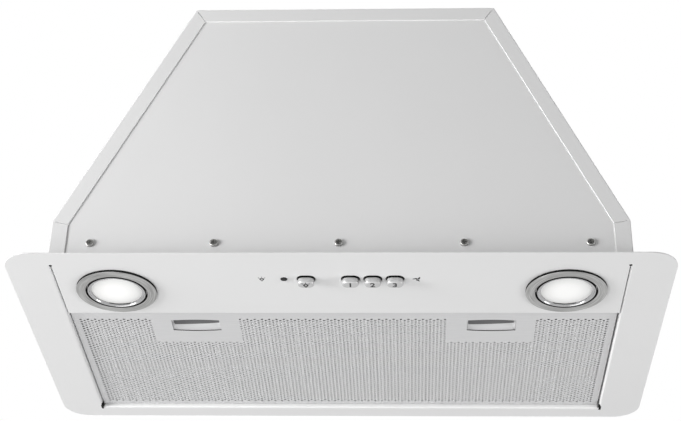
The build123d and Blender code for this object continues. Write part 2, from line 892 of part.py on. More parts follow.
def duct_collar():
    top = body_h + collar_h
    pin_z = body_h + flap_z
    collar = rod(collar_flange_r, (0, 0, body_h), (0, 0, body_h + collar_flange_t))
    collar += rod(collar_r, (0, 0, body_h), (0, 0, top))
    bore = collar_r - collar_wall
    collar -= rod(bore, (0, 0, body_h - 1), (0, 0, top + 1))
    ledge_top = pin_z - flap_t / 2 - ledge_drop
    ledge = rod(bore, (0, 0, ledge_top - ledge_t), (0, 0, ledge_top))
    ledge -= rod(bore - ledge_w, (0, 0, ledge_top - 5), (0, 0, ledge_top + 5))
    collar += ledge
    pin_end = collar_r - collar_wall / 2
    collar -= rod(flap_pin_r, (0, -pin_end, pin_z), (0, pin_end, pin_z))
    for px, py in collar_screw_places():
        collar -= rod(shank_r + screw_clearance, (px, py, body_h - 1), (px, py, top))
    return collar


def collar_screws():
    screw = cross_screw(2 * shank_l)
    at = body_h + collar_flange_t
    return Compound(children=[Pos(px, py, at) * screw for px, py in collar_screw_places()])


def damper_pin():
    pin_z = body_h + flap_z
    end = collar_r - collar_wall / 2
    return rod(flap_pin_r, (0, -end, pin_z), (0, end, pin_z))


def damper_flap(side):
    # A half disc with every second knuckle on the pin
    pin_z = body_h + flap_z
    radius = collar_r - collar_wall - flap_gap
    half = rod(radius, (0, 0, pin_z - flap_t / 2), (0, 0, pin_z + flap_t / 2))
    half &= block((knuckle_r + knuckle_space, radius + 1), (-radius, radius), (pin_z - 1, pin_z + 1))
    count = int(2 * (radius - knuckle_l) / knuckle_l)
    first = -count * knuckle_l / 2
    for i in range(count):
        if (i % 2 == 0) != (side > 0):
            continue
        y = (first + i * knuckle_l + knuckle_space / 2, first + (i + 1) * knuckle_l - knuckle_space / 2)
        half += rod(knuckle_r, (0, y[0], pin_z), (0, y[1], pin_z))
        half += block((0, knuckle_r + 1), y, (pin_z - flap_t / 2, pin_z + flap_t / 2))
    half -= rod(flap_pin_r + flap_play, (0, -radius, pin_z), (0, radius, pin_z))
    return half if side > 0 else mirrored(half)


# Blower


def scroll_face(offset, x):
    # The spiral's side shape, moved outwards by an offset, at one x
    a_mid = (axis_y - scroll_step / 2, axis_z - scroll_step / 2)
    c_mid = (axis_y + scroll_step / 2, axis_z + scroll_step / 2)
    b_mid = (c_mid[0], a_mid[1])
    top = top_z
    left = a_mid[0] - scroll_r - offset
    right = c_mid[0] + scroll_r + 2 * scroll_step + offset
    bottom = c_mid[1] - scroll_r - 2 * scroll_step - offset
    crown = a_mid[1] + scroll_r + offset
    front = -outlet_l / 2 - offset
    nose = cutoff_r - offset

    def turned(centre, radius, angle):
        return (x, centre[0] + radius * cos(radians(angle)), centre[1] + radius * sin(radians(angle)))

    radius_a = scroll_r + offset
    radius_b = scroll_r + scroll_step + offset
    radius_c = scroll_r + 2 * scroll_step + offset
    edges = [
        Line((x, front, top), (x, front, crown + nose)),
        ThreePointArc(
            (x, front, crown + nose),
            (x, front - nose * (1 - cos(pi / 4)), crown + nose * (1 - sin(pi / 4))),
            (x, front - nose, crown),
        ),
        Line((x, front - nose, crown), (x, a_mid[0], crown)),
        ThreePointArc((x, a_mid[0], crown), turned(a_mid, radius_a, 135), (x, left, a_mid[1])),
        ThreePointArc((x, left, a_mid[1]), turned(b_mid, radius_b, 225), (x, b_mid[0], bottom)),
        ThreePointArc((x, b_mid[0], bottom), turned(c_mid, radius_c, 315), (x, right, c_mid[1])),
        Line((x, right, c_mid[1]), (x, right, top)),
        Line((x, right, top), (x, front, top)),
    ]
    return make_face(edges)


def volute_half(side):
    outer_x = scroll_half + scroll_wall
    shell = extrude(scroll_face(scroll_wall, 0), outer_x, dir=(1, 0, 0))
    shell -= extrude(scroll_face(0, -1), scroll_half + 1, dir=(1, 0, 0))
    lip = rod(inlet_r + inlet_lip_t, (outer_x - inlet_lip, axis_y, axis_z), (outer_x, axis_y, axis_z))
    shell += lip
    shell -= rod(inlet_r, (0, axis_y, axis_z), (outer_x + 1, axis_y, axis_z))
    flange_z = (top_z - top_flange_t, top_z)
    flange = block((0, top_flange_x), (-top_flange_y, top_flange_y), flange_z)
    flange -= block((-1, scroll_half), (-outlet_l / 2, outlet_l / 2), (flange_z[0] - 1, top_z + 1))
    shell += flange
    for py, pz in lug_places():
        shell += rod(lug_r, (0, py, pz), (lug_l, py, pz)) - extrude(
            scroll_face(0, -1), scroll_half, dir=(1, 0, 0)
        )
        shell -= rod(shank_r, (-1, py, pz), (lug_l + 1, py, pz))
    for px, py in collar_screw_places():
        shell -= rod(shank_r, (px, py, flange_z[0] - 1), (px, py, top_z + 1))
    if side < 0:
        return mirrored(shell)
    for turn in bracket_turns():
        hole = rod(shank_r, (scroll_half - 1, 0, bracket_foot_r), (outer_x + 1, 0, bracket_foot_r))
        shell -= Pos(0, axis_y, axis_z) * Rot(turn, 0, 0) * hole
    return shell


def lug_places():
    # Screw lugs round the split, just outside the spiral wall
    reach_a = scroll_r + scroll_wall + lug_r - lug_sink
    reach_b = reach_a + scroll_step
    reach_c = reach_b + scroll_step
    half = scroll_step / 2
    lugs = [
        (axis_y - half, axis_z - half, reach_a, 120),
        (axis_y + half, axis_z - half, reach_b, 215),
        (axis_y + half, axis_z + half, reach_c, 300),
    ]
    places = []
    for py, pz, reach, angle in lugs:
        places.append((py + reach * cos(radians(angle)), pz + reach * sin(radians(angle))))
    right = axis_y + half + scroll_r + 2 * scroll_step + scroll_wall + lug_r - lug_sink
    places.append((right, axis_z + scroll_r))
    return places


def volute_screws():
    screw = cross_screw(2 * lug_l)
    screws = [Pos(lug_l, py, pz) * Rot(0, 90, 0) * screw for py, pz in lug_places()]
    return Compound(children=screws)


def inlet_guard():
    # Finger guard over the open inlet: rings on a cross of bars
    x0 = -scroll_half - scroll_wall - inlet_lip - guard_t
    x = (x0, x0 + guard_t)
    outer = inlet_r + inlet_lip_t
    guard = rod(outer, (x[0], axis_y, axis_z), (x[1] + inlet_lip, axis_y, axis_z))
    guard -= rod(outer - guard_bar, (x[0] - 1, axis_y, axis_z), (x[1] + inlet_lip + 1, axis_y, axis_z))
    step = (outer - guard_bar) / (guard_rings + 0.5)
    for i in range(guard_rings):
        radius = step * (i + 1)
        ring = rod(radius, (x[0], axis_y, axis_z), (x[1], axis_y, axis_z))
        guard += ring - rod(radius - guard_bar, (x[0] - 1, axis_y, axis_z), (x[1] + 1, axis_y, axis_z))
    reach = outer - guard_bar / 2
    bars = block(x, (-reach, reach), (-guard_bar / 2, guard_bar / 2))
    bars += block(x, (-guard_bar / 2, guard_bar / 2), (-reach, reach))
    return guard + Pos(0, axis_y, axis_z) * bars


def impeller():
    # A squirrel-cage wheel: blades through a middle disc, with a ring at each end
    half = wheel_w / 2
    wheel = rod(wheel_r, (-wheel_disc / 2, 0, 0), (wheel_disc / 2, 0, 0))
    wheel += rod(hub_r, (-hub_l / 2, 0, 0), (hub_l / 2, 0, 0))
    for side in (1, -1):
        end = rod(wheel_r, (side * (half - wheel_ring), 0, 0), (side * half, 0, 0))
        bore_r = wheel_r - wheel_ring_in
        wheel += end - rod(bore_r, (-half - 1, 0, 0), (half + 1, 0, 0))
    root, tip = wheel_r - blade_l, wheel_r - blade_t / 2
    middle = (root + tip) / 2
    bow = (-half, middle, -blade_bow), (-half, middle, blade_t - blade_bow)
    blade_face = make_face(
        [
            ThreePointArc((-half, root, 0), bow[0], (-half, tip, 0)),
            Line((-half, tip, 0), (-half, tip, blade_t)),
            ThreePointArc((-half, tip, blade_t), bow[1], (-half, root, blade_t)),
            Line((-half, root, blade_t), (-half, root, 0)),
        ]
    )
    blade = extrude(blade_face, wheel_w, dir=(1, 0, 0))
    wheel += [Rot(i * 360 / blade_count, 0, 0) * blade for i in range(blade_count)]
    wheel -= rod(shaft_r, (-hub_l, 0, 0), (hub_l, 0, 0))
    return Pos(0, axis_y, axis_z) * wheel


# Motor and its bracket


def motor_shaft():
    start = (-hub_l / 2 - shaft_end, axis_y, axis_z)
    return rod(shaft_r, start, (motor_x1 - shaft_end, axis_y, axis_z))


def motor_body():
    can = rod(motor_r, (motor_x0, 0, 0), (motor_x1, 0, 0))
    can = fillet(can.edges().filter_by(GeomType.CIRCLE), motor_round)
    can += rod(motor_boss_r, (motor_x0 - motor_boss_l, 0, 0), (motor_x0 + motor_boss_l, 0, 0))
    bore_end = motor_x1 - shaft_end + fit
    can -= rod(shaft_r + shaft_play, (motor_x0 - 2 * motor_boss_l, 0, 0), (bore_end, 0, 0))
    for turn in bracket_turns():
        hole = rod(shank_r, (motor_x0 - 1, 0, motor_screw_r), (motor_x0 + shank_l, 0, motor_screw_r))
        can -= Rot(turn, 0, 0) * hole
    entry = (motor_x1 - lead_grip, lead_motor_y - axis_y, 0)
    can -= rod(lead_r, entry, (motor_x1 + 1, entry[1], 0))
    return Pos(0, axis_y, axis_z) * can


def bracket_turns():
    return [60 + i * 360 / bracket_feet for i in range(bracket_feet)]


def motor_bracket():
    # A plate on the motor's face with arms out to the blower's side wall
    x = (motor_x0 - bracket_plate, motor_x0)
    bracket = rod(bracket_ring_r, (x[0], 0, 0), (x[1], 0, 0))
    for turn in bracket_turns():
        arm = block(x, (-bracket_arm_w / 2, bracket_arm_w / 2), (0, bracket_foot_r))
        arm += rod(bracket_arm_w / 2, (x[0], 0, bracket_foot_r), (x[1], 0, bracket_foot_r))
        bracket += Rot(turn, 0, 0) * arm
    for turn in bracket_turns():
        for radius in (motor_screw_r, bracket_foot_r):
            hole = rod(shank_r + screw_clearance, (x[0] - 1, 0, radius), (x[1] + 1, 0, radius))
            bracket -= Rot(turn, 0, 0) * hole
    bracket -= rod(motor_boss_r + fit, (x[0] - 1, 0, 0), (x[1] + 1, 0, 0))
    return Pos(0, axis_y, axis_z) * bracket


def motor_bushes():
    bushes = []
    for turn in bracket_turns():
        x = (scroll_half + scroll_wall, motor_x0 - bracket_plate)
        bush = rod(bush_r, (x[0], 0, bracket_foot_r), (x[1], 0, bracket_foot_r))
        bush -= rod(shank_r, (x[0] - 1, 0, bracket_foot_r), (x[1] + 1, 0, bracket_foot_r))
        bushes.append(Pos(0, axis_y, axis_z) * Rot(turn, 0, 0) * bush)
    return Compound(children=bushes)


def motor_screws():
    # Long screws through the feet and their bushes, short ones into the motor's face
    long_screw = cross_screw(bush_l + bracket_plate + scroll_wall)
    short_screw = cross_screw(shank_l)
    screws = []
    for turn in bracket_turns():
        at = Pos(0, axis_y, axis_z) * Rot(turn, 0, 0)
        screws.append(at * Pos(motor_x0, 0, bracket_foot_r) * Rot(0, 90, 0) * long_screw)
        face = motor_x0 - bracket_plate
        screws.append(at * Pos(face, 0, motor_screw_r) * Rot(0, -90, 0) * short_screw)
    return Compound(children=screws)


# Electrical pieces


def capacitor():
    y = back_in - clip_band - capacitor_r
    start = capacitor_x - capacitor_l / 2
    can = rod(capacitor_r, (start, y, capacitor_z), (start + capacitor_l, y, capacitor_z))
    can = fillet(can.edges().filter_by(GeomType.CIRCLE), capacitor_round)
    tab = Box(tab_l, tab_w, tab_t)
    for pz in (-capacitor_r / 3, capacitor_r / 3):
        can += Pos(start + capacitor_l + tab_l / 2, y, capacitor_z + pz) * tab
    return can


def capacitor_clip():
    # A strap round the capacitor, with an ear on the back panel at each side
    y = back_in - clip_band - capacitor_r
    x = (capacitor_x - clip_band_w / 2, capacitor_x + clip_band_w / 2)
    outer = capacitor_r + clip_band
    band = rod(outer, (x[0], y, capacitor_z), (x[1], y, capacitor_z))
    ear = outer + clip_ear
    band += block(x, (back_in - clip_band, back_in), (capacitor_z - ear, capacitor_z + ear))
    band -= rod(capacitor_r, (x[0] - 1, y, capacitor_z), (x[1] + 1, y, capacitor_z))
    return band


def terminal_box():
    x = (box_x - box_w / 2, box_x + box_w / 2)
    y = (back_in - box_d, back_in)
    z = (box_z - box_h / 2, box_z + box_h / 2)
    box = block(x, y, z)
    box = fillet(box.edges().filter_by(Axis.Y), box_wall)
    inner_x = (x[0] + box_wall, x[1] - box_wall)
    inner_z = (z[0] + box_wall, z[1] - box_wall)
    box -= block(inner_x, (y[0] - 1, y[1] - box_wall), inner_z)
    box -= rod(lead_r, (box_x, lead_y, z[1] - box_wall - 1), (box_x, lead_y, z[1] + 1))
    box -= rod(lamp_lead_r, (x[0] - 1, lead_y, box_entry_z), (x[1] + 1, lead_y, box_entry_z))
    box -= rod(lamp_lead_r, (box_entry_x, lead_y, z[0] - 1), (box_entry_x, lead_y, z[0] + box_wall + 1))
    return box


def terminal_lid():
    x = (box_x - box_w / 2, box_x + box_w / 2)
    z = (box_z - box_h / 2, box_z + box_h / 2)
    lid = block(x, (back_in - box_d - lid_t, back_in - box_d), z)
    lid = fillet(lid.edges().filter_by(Axis.Y), box_wall)
    return lid


def cable_grommet():
    # A rubber bush in the top sheet for the supply cable
    z = (top_z - grommet_lip_t, body_h + grommet_lip_t)
    grommet = rod(grommet_r, (0, 0, z[0]), (0, 0, z[1]))
    for low, high in ((z[0], top_z), (body_h, z[1])):
        grommet += rod(grommet_r + grommet_lip, (0, 0, low), (0, 0, high))
    grommet -= rod(grommet_bore, (0, 0, z[0] - 1), (0, 0, z[1] + 1))
    return Pos(grommet_x, grommet_y) * grommet


# Leads inside the housing


def lead_motor_route():
    return [
        (motor_x1, lead_motor_y, axis_z),
        (128, lead_motor_y, axis_z),
        (146, -18, 121),
        (158, 6, 125),
        (161, 42, 132),
        (153, 78, 140),
        (141, 102, 138),
        (133.5, 113.5, 125),
        (box_x, lead_y, 110),
        (box_x, lead_y, box_z + box_h / 2),
    ]


def lead_lamp_route(side):
    # Both end the same way: along the side wall, up over the lamp and down into its cup
    wall = side_in - lead_clip_t - lamp_lead_r
    back = back_in - lead_clip_t - lamp_lead_r
    face = box_x + side * box_w / 2
    start = [
        (face, lead_y, box_entry_z),
        (face + side * 16, lead_y, box_entry_z),
    ]
    right = [
        (lamp_x + 21, lead_y - 8, 60),
        (lamp_x + 35, lead_y - 29, 40),
    ]
    left = [
        (60, lead_y + 6, 62),
        (28, back, 57),
        (-8, back, back_clip_z),
        (-58, back, back_clip_z),
        (80 - lamp_x, back, 51),
        (38 - lamp_x, lead_y + 7, 52),
        (-lamp_x, lead_y - 2, 50),
        (-28 - lamp_x, lead_y - 23, 38),
    ]
    end = [
        (side * wall, 45, wall_clip_z),
        (side * wall, -5, wall_clip_z),
        (side * (lamp_x + 36), lamp_y + 49.9, 28),
        (side * (lamp_x + 26), lamp_y + 27.9, 46),
        (side * (lamp_x + 14), lamp_y + 11.9, 57),
        (side * (lamp_x + 4), lamp_y + 1.9, 52),
        (side * lamp_x, lamp_y, 38),
        (side * lamp_x, lamp_y, cup_h),
    ]
    return start + (right if side > 0 else left) + end


def lead_switch_route():
    block_back = button_y + block_l / 2
    return [
        (box_entry_x, lead_y, box_z - box_h / 2),
        (box_entry_x, lead_y, 41),
        (109, 104, 31),
        (103, 86, 26),
        (94, 58, 24),
        (86, 24, 27),
        (79, -12, 26),
        (68, -40, 25),
        (54, -60, 20),
        (43, -72, 14.5),
        (38, block_back + 10, 12),
        (38, block_back, 12),
    ]


def lead(name, route, radius):
    # A round lead: straight runs joined by arcs as large as the runs allow
    points = [Vector(*p) for p in route]
    radii = []
    for a, b, c in zip(points, points[1:], points[2:]):
        turn = (b - a).get_angle(c - b)
        run = min((b - a).length, (c - b).length)
        radii.append(0.45 * run / tan(radians(turn) / 2))
    path = FilletPolyline(*points, radius=radii)
    section = Plane(origin=path @ 0, z_dir=path % 0) * Circle(radius)
    tube = sweep(section, path=path)
    share = tube.volume / (pi * radius**2 * path.length)
    print(name, "radii", [round(r) for r in radii], "volume share", round(share, 4))
    return tube


def lead_clips():
    # Saddles that hold the lamp leads to the side walls and the back panel
    clips = []
    outer = lamp_lead_r + lead_clip_t
    half = lead_clip_l / 2
    for side in (1, -1):
        x = side * (side_in - outer)
        ring = rod(outer, (x, wall_clip_y - half, wall_clip_z), (x, wall_clip_y + half, wall_clip_z))
        pad = sorted((side * (side_in - lead_clip_t), side * side_in))
        pad_z = (wall_clip_z - outer, wall_h - lead_clip_drop)
        ring += block(pad, (wall_clip_y - half, wall_clip_y + half), pad_z)
        inner = (wall_clip_y - half - 1, wall_clip_y + half + 1)
        ring -= rod(lamp_lead_r, (x, inner[0], wall_clip_z), (x, inner[1], wall_clip_z))
        clips.append(ring)
    y = back_in - outer
    x = (back_clip_x - half, back_clip_x + half)
    ring = rod(outer, (x[0], y, back_clip_z), (x[1], y, back_clip_z))
    pad_z = (back_clip_z - outer, back_clip_z + outer + lead_clip_ear)
    ring += block(x, (back_in - lead_clip_t, back_in), pad_z)
    ring -= rod(lamp_lead_r, (x[0] - 1, y, back_clip_z), (x[1] + 1, y, back_clip_z))
    clips.append(ring)
    return Compound(children=clips)


nodes = {
    "base_panel": base_panel(),
    "housing_wrap": housing_wrap(),
    "front_panel": end_panel(True),
    "back_panel": end_panel(False),
    "front_rail": front_rail(),
    "housing_screws": housing_screws(),
    "duct_collar": duct_collar(),
    "collar_screws": collar_screws(),
    "damper_pin": damper_pin(),
    "damper_flap_left": damper_flap(-1),
    "damper_flap_right": damper_flap(1),
    "volute_left": volute_half(-1),
    "volute_right": volute_half(1),
    "volute_screws": volute_screws(),
    "inlet_guard": inlet_guard(),
    "impeller": impeller(),
    "motor_shaft": motor_shaft(),
    "motor_body": motor_body(),
    "motor_bracket": motor_bracket(),
    "motor_bushes": motor_bushes(),
    "motor_screws": motor_screws(),
    "capacitor": capacitor(),
    "capacitor_clip": capacitor_clip(),
    "terminal_box": terminal_box(),
    "terminal_lid": terminal_lid(),
    "cable_grommet": cable_grommet(),
    "lead_motor": lead("lead_motor", lead_motor_route(), lead_r),
    "lead_lamp_left": lead("lead_lamp_left", lead_lamp_route(-1), lamp_lead_r),
    "lead_lamp_right": lead("lead_lamp_right", lead_lamp_route(1), lamp_lead_r),
    "lead_switch": lead("lead_switch", lead_switch_route(), lamp_lead_r),
    "lead_clips": lead_clips(),
    "switch_block": switch_block(),
    "switch_bracket": switch_bracket(),
    "switch_nuts": switch_nuts(),
    "indicator_lens": indicator_lens(),
    "lamp_rings": Compound(children=[lamp_ring(side) for side in (1, -1)]),
    "lamp_cups": Compound(children=[lamp_cup(side) for side in (1, -1)]),
    "lamp_boards": lamp_boards(),
    "lamp_clips": lamp_clips(),
    "filter_tray": filter_tray(),
    "filter_pins": filter_pins(),
    "filter_mesh": filter_mesh(),
    "filter_grid": filter_grid(),
    "latch_covers": latch_covers(),
}
for name, side in (("left", -1), ("right", 1)):
    nodes[f"lamp_bezel_{name}"] = lamp_bezel(side)
    nodes[f"lamp_glass_{name}"] = lamp_glass(side)
    nodes[f"latch_{name}"] = latch_slide(side)
    nodes[f"latch_spring_{name}"] = latch_spring(side)
for name, px in zip(("light", "1", "2", "3"), button_xs()):
    nodes[f"button_{name}"] = push_button(px)
    nodes[f"spring_{name}"] = button_spring(px)

os.makedirs("parts", exist_ok=True)
for name, shape in nodes.items():
    export_step(shape, f"parts/{name}.step")
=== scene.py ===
import math
import bmesh
import bpy
from mathutils import Matrix, Vector


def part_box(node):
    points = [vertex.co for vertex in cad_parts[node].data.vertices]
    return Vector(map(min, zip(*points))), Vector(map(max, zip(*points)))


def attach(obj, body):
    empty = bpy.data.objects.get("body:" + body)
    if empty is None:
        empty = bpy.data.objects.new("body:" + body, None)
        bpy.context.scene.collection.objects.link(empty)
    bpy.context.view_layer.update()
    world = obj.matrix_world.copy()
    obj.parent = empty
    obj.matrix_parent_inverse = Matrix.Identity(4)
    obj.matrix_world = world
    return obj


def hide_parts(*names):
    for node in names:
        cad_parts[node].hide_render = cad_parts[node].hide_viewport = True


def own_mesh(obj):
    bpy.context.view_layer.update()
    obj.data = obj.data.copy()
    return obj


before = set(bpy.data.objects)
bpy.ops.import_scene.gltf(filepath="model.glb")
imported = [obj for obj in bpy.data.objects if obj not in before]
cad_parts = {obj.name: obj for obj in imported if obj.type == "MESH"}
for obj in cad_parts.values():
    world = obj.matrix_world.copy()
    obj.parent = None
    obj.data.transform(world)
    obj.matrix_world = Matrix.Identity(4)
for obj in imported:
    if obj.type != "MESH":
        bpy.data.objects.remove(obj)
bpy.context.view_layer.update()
mm = 0.001
print("frame loaded")


# Camera, matched to the photograph

camera = {
    "place": (0.0557, -1.1699, -0.6214),
    "lens": 83.43,
    "sensor": 36,
    "upDegrees": 32.644,
    "leftDegrees": 3.015,
    "rollDegrees": 1.469,
    "clipStart": 0.01,
    "clipEnd": 50,
}


def addCamera():
    bpy.ops.object.camera_add(location=camera["place"])
    cam = bpy.context.object
    cam.name = "photoCamera"
    cam.data.lens = camera["lens"]
    cam.data.sensor_width = camera["sensor"]
    cam.data.clip_start = camera["clipStart"]
    cam.data.clip_end = camera["clipEnd"]
    left = Matrix.Rotation(math.radians(camera["leftDegrees"]), 4, "Z")
    up = Matrix.Rotation(math.radians(90 + camera["upDegrees"]), 4, "X")
    roll = Matrix.Rotation(math.radians(camera["rollDegrees"]), 4, "Z")
    cam.matrix_world = Matrix.Translation(camera["place"]) @ left @ up @ roll
    bpy.context.scene.camera = cam


# Floor, world and lamps

studio = {
    "floorHeight": -3.0,
    "floorSize": 30,
    "floorColour": (0.92, 0.92, 0.92),
    "floorRoughness": 0.9,
    "worldLight": 0.235,
    "cardPlace": (0, -3.0, 1.9),  # above the line of sight, in front
    "cardSize": (7, 4),
    "aim": (0, 0, 0.08),  # all lamps point here
}

# place, size and power
studioLamps = {
    "under": ((-0.95, -0.75, -1.55), 2.0, 18),  # big soft light below, left of the middle
    "fill": ((2.0, -0.25, -0.75), 0.8, 14.5),  # low from the right, for the bends that face that way
    "side": ((-2.0, -1.0, -0.3), 1.0, 52),  # from the left and a little in front
    "top": ((-1.0, -0.9, 1.6), 1.2, 5),
    "back": ((0.4, 1.7, 1.7), 1.4, 24),  # for the top and back, out of the camera's sight
    "seam": ((2.4, -0.46, 0.14), 0.3, 5),  # grazes the front from the right, for the seams alone
}


def whiteToCamera(tree, shader, output):
    # White to the camera, also by way of a reflection or through glass; the shader's own light elsewhere
    path = tree.nodes.new("ShaderNodeLightPath")
    seen = mathNode(tree, "MAXIMUM", path.outputs["Is Camera Ray"], path.outputs["Is Glossy Ray"])
    seen = mathNode(tree, "MAXIMUM", seen, path.outputs["Is Transmission Ray"])
    isWorld = output.type == "OUTPUT_WORLD"
    white = tree.nodes.new("ShaderNodeBackground" if isWorld else "ShaderNodeEmission")
    white.inputs["Color"].default_value = (1, 1, 1, 1)
    white.inputs["Strength"].default_value = 1.0
    mix = tree.nodes.new("ShaderNodeMixShader")
    tree.links.new(seen, mix.inputs["Fac"])
    tree.links.new(shader.outputs[0], mix.inputs[1])
    tree.links.new(white.outputs[0], mix.inputs[2])
    tree.links.new(mix.outputs[0], output.inputs["Surface"])


def addWorld():
    world = bpy.data.worlds.new("studioWorld")
    bpy.context.scene.world = world
    world.use_nodes = True
    tree = world.node_tree
    background = tree.nodes["Background"]
    background.inputs["Color"].default_value = (1, 1, 1, 1)
    background.inputs["Strength"].default_value = studio["worldLight"]
    whiteToCamera(tree, background, tree.nodes["World Output"])


def addFloor():
    bpy.ops.mesh.primitive_plane_add(size=studio["floorSize"], location=(0, 0, studio["floorHeight"]))
    floor = bpy.context.object
    floor.name = "studioFloor"
    paint = bpy.data.materials.new("floorPaper")
    paint.use_nodes = True
    tree = paint.node_tree
    shader = tree.nodes["Principled BSDF"]
    shader.inputs["Base Color"].default_value = (*studio["floorColour"], 1)
    shader.inputs["Roughness"].default_value = studio["floorRoughness"]
    whiteToCamera(tree, shader, tree.nodes["Material Output"])
    floor.data.materials.append(paint)


def addDarkCard():
    # The dark room in front of the hood, seen in reflections alone
    bpy.ops.mesh.primitive_plane_add(size=2, location=studio["cardPlace"], rotation=(math.pi / 2, 0, 0))
    card = bpy.context.object
    card.name = "darkCard"
    wide, high = studio["cardSize"]
    card.scale = (wide / 2, high / 2, 1)
    card.visible_camera = False
    card.visible_diffuse = False
    card.visible_shadow = False
    card.visible_transmission = False
    dark = bpy.data.materials.new("cardBlack")
    dark.use_nodes = True
    shader = dark.node_tree.nodes["Principled BSDF"]
    shader.inputs["Base Color"].default_value = (0.004, 0.004, 0.004, 1)
    shader.inputs["Specular IOR Level"].default_value = 0
    card.data.materials.append(dark)


def addLamp(name, place, size, power):
    bpy.ops.object.light_add(type="AREA", location=place)
    lamp = bpy.context.object
    lamp.name = name
    lamp.data.shape = "DISK"
    lamp.data.size = size
    lamp.data.energy = power
    lamp.visible_camera = False
    aim = Vector(studio["aim"]) - Vector(place)
    lamp.rotation_euler = aim.to_track_quat("-Z", "Y").to_euler()


def addStudio():
    addWorld()
    addFloor()
    addDarkCard()
    for name, values in studioLamps.items():
        addLamp(name + "Lamp", *values)
    bpy.context.scene.view_settings.view_transform = "Standard"


# Node helpers


def newMaterial(name, colour, roughness, metallic=0.0):
    made = bpy.data.materials.new(name)
    made.use_nodes = True
    shader = made.node_tree.nodes["Principled BSDF"]
    shader.inputs["Base Color"].default_value = (*colour, 1)
    shader.inputs["Roughness"].default_value = roughness
    shader.inputs["Metallic"].default_value = metallic
    return made, made.node_tree, shader


def mathNode(tree, operation, first, second=None):
    # The second value is a number or another node's output
    node = tree.nodes.new("ShaderNodeMath")
    node.operation = operation
    tree.links.new(first, node.inputs[0])
    if isinstance(second, float):
        node.inputs[1].default_value = second
    elif second is not None:
        tree.links.new(second, node.inputs[1])
    return node.outputs[0]


def objectPlace(tree, stretch=(1, 1, 1)):
    place = tree.nodes.new("ShaderNodeTexCoord")
    mapping = tree.nodes.new("ShaderNodeMapping")
    mapping.inputs["Scale"].default_value = stretch
    tree.links.new(place.outputs["Object"], mapping.inputs["Vector"])
    return mapping.outputs["Vector"]


def objectNoise(tree, scale, detail, stretch=(1, 1, 1)):
    noise = tree.nodes.new("ShaderNodeTexNoise")
    noise.inputs["Scale"].default_value = scale
    noise.inputs["Detail"].default_value = detail
    tree.links.new(objectPlace(tree, stretch), noise.inputs["Vector"])
    return noise.outputs["Fac"]


def varyColour(tree, shader, amount, dark, light, low=0.3, high=0.7):
    ramp = tree.nodes.new("ShaderNodeValToRGB")
    ramp.color_ramp.elements[0].position = low
    ramp.color_ramp.elements[1].position = high
    ramp.color_ramp.elements[0].color = (*dark, 1)
    ramp.color_ramp.elements[1].color = (*light, 1)
    tree.links.new(amount, ramp.inputs["Fac"])
    tree.links.new(ramp.outputs["Color"], shader.inputs["Base Color"])


def varyRoughness(tree, shader, amount, low, high):
    span = tree.nodes.new("ShaderNodeMapRange")
    span.inputs["To Min"].default_value = low
    span.inputs["To Max"].default_value = high
    tree.links.new(amount, span.inputs["Value"])
    tree.links.new(span.outputs["Result"], shader.inputs["Roughness"])


def addBump(tree, shader, amount, strength, depth):
    bump = tree.nodes.new("ShaderNodeBump")
    bump.inputs["Strength"].default_value = strength
    bump.inputs["Distance"].default_value = depth
    tree.links.new(amount, bump.inputs["Height"])
    tree.links.new(bump.outputs["Normal"], shader.inputs["Normal"])


def shades(colour, drift):
    # A colour a little darker and a little lighter
    return tuple(max(c - drift, 0) for c in colour), tuple(c + drift for c in colour)


# Materials

coat = {
    "colour": (0.80, 0.80, 0.80), "drift": 0.010, "roughness": 0.42, "spread": 0.05, "shine": 0.35,
    "patch": 6, "peel": 700,
}


def powderCoat():
    # White baked powder with a faint orange peel
    made, tree, shader = newMaterial("powderCoat", coat["colour"], coat["roughness"])
    shader.inputs["Specular IOR Level"].default_value = coat["shine"]
    varyColour(tree, shader, objectNoise(tree, coat["patch"], 3), *shades(coat["colour"], coat["drift"]))
    peel = objectNoise(tree, coat["peel"], 1)
    varyRoughness(tree, shader, peel, coat["roughness"] - coat["spread"], coat["roughness"] + coat["spread"])
    addBump(tree, shader, peel, 0.25, 0.00002)
    return made


silver = {
    "colour": (0.645, 0.645, 0.65), "drift": 0.02, "metallic": 0.2, "roughness": 0.46, "grain": 900,
    "alongX": (0.06, 1, 1),
}


def silverLacquer():
    # The filter's face: aluminium with a matt clear coat and a rolled grain along x
    rough = silver["roughness"]
    made, tree, shader = newMaterial("silverLacquer", silver["colour"], rough, silver["metallic"])
    grain = objectNoise(tree, silver["grain"], 2, silver["alongX"])
    varyColour(tree, shader, grain, *shades(silver["colour"], silver["drift"]))
    varyRoughness(tree, shader, grain, rough - 0.06, rough + 0.08)
    addBump(tree, shader, grain, 0.12, 0.00002)
    return made


def metal(name, colour, roughness, scale, drift=0.03, stretch=(1, 1, 1), metallic=1.0, bump=0.1):
    # Bare metal with a grain of its own scale and direction
    made, tree, shader = newMaterial(name, colour, roughness, metallic)
    grain = objectNoise(tree, scale, 3, stretch)
    varyColour(tree, shader, grain, *shades(colour, drift))
    varyRoughness(tree, shader, grain, roughness - 0.06, roughness + 0.08)
    addBump(tree, shader, grain, bump, 0.00002)
    return made


galvanized = {
    "colour": (0.52, 0.53, 0.54), "dark": (0.44, 0.45, 0.46), "light": (0.60, 0.61, 0.62),
    "roughness": 0.42, "smooth": 0.34, "rough": 0.52, "metallic": 0.85, "spangle": 130,
}


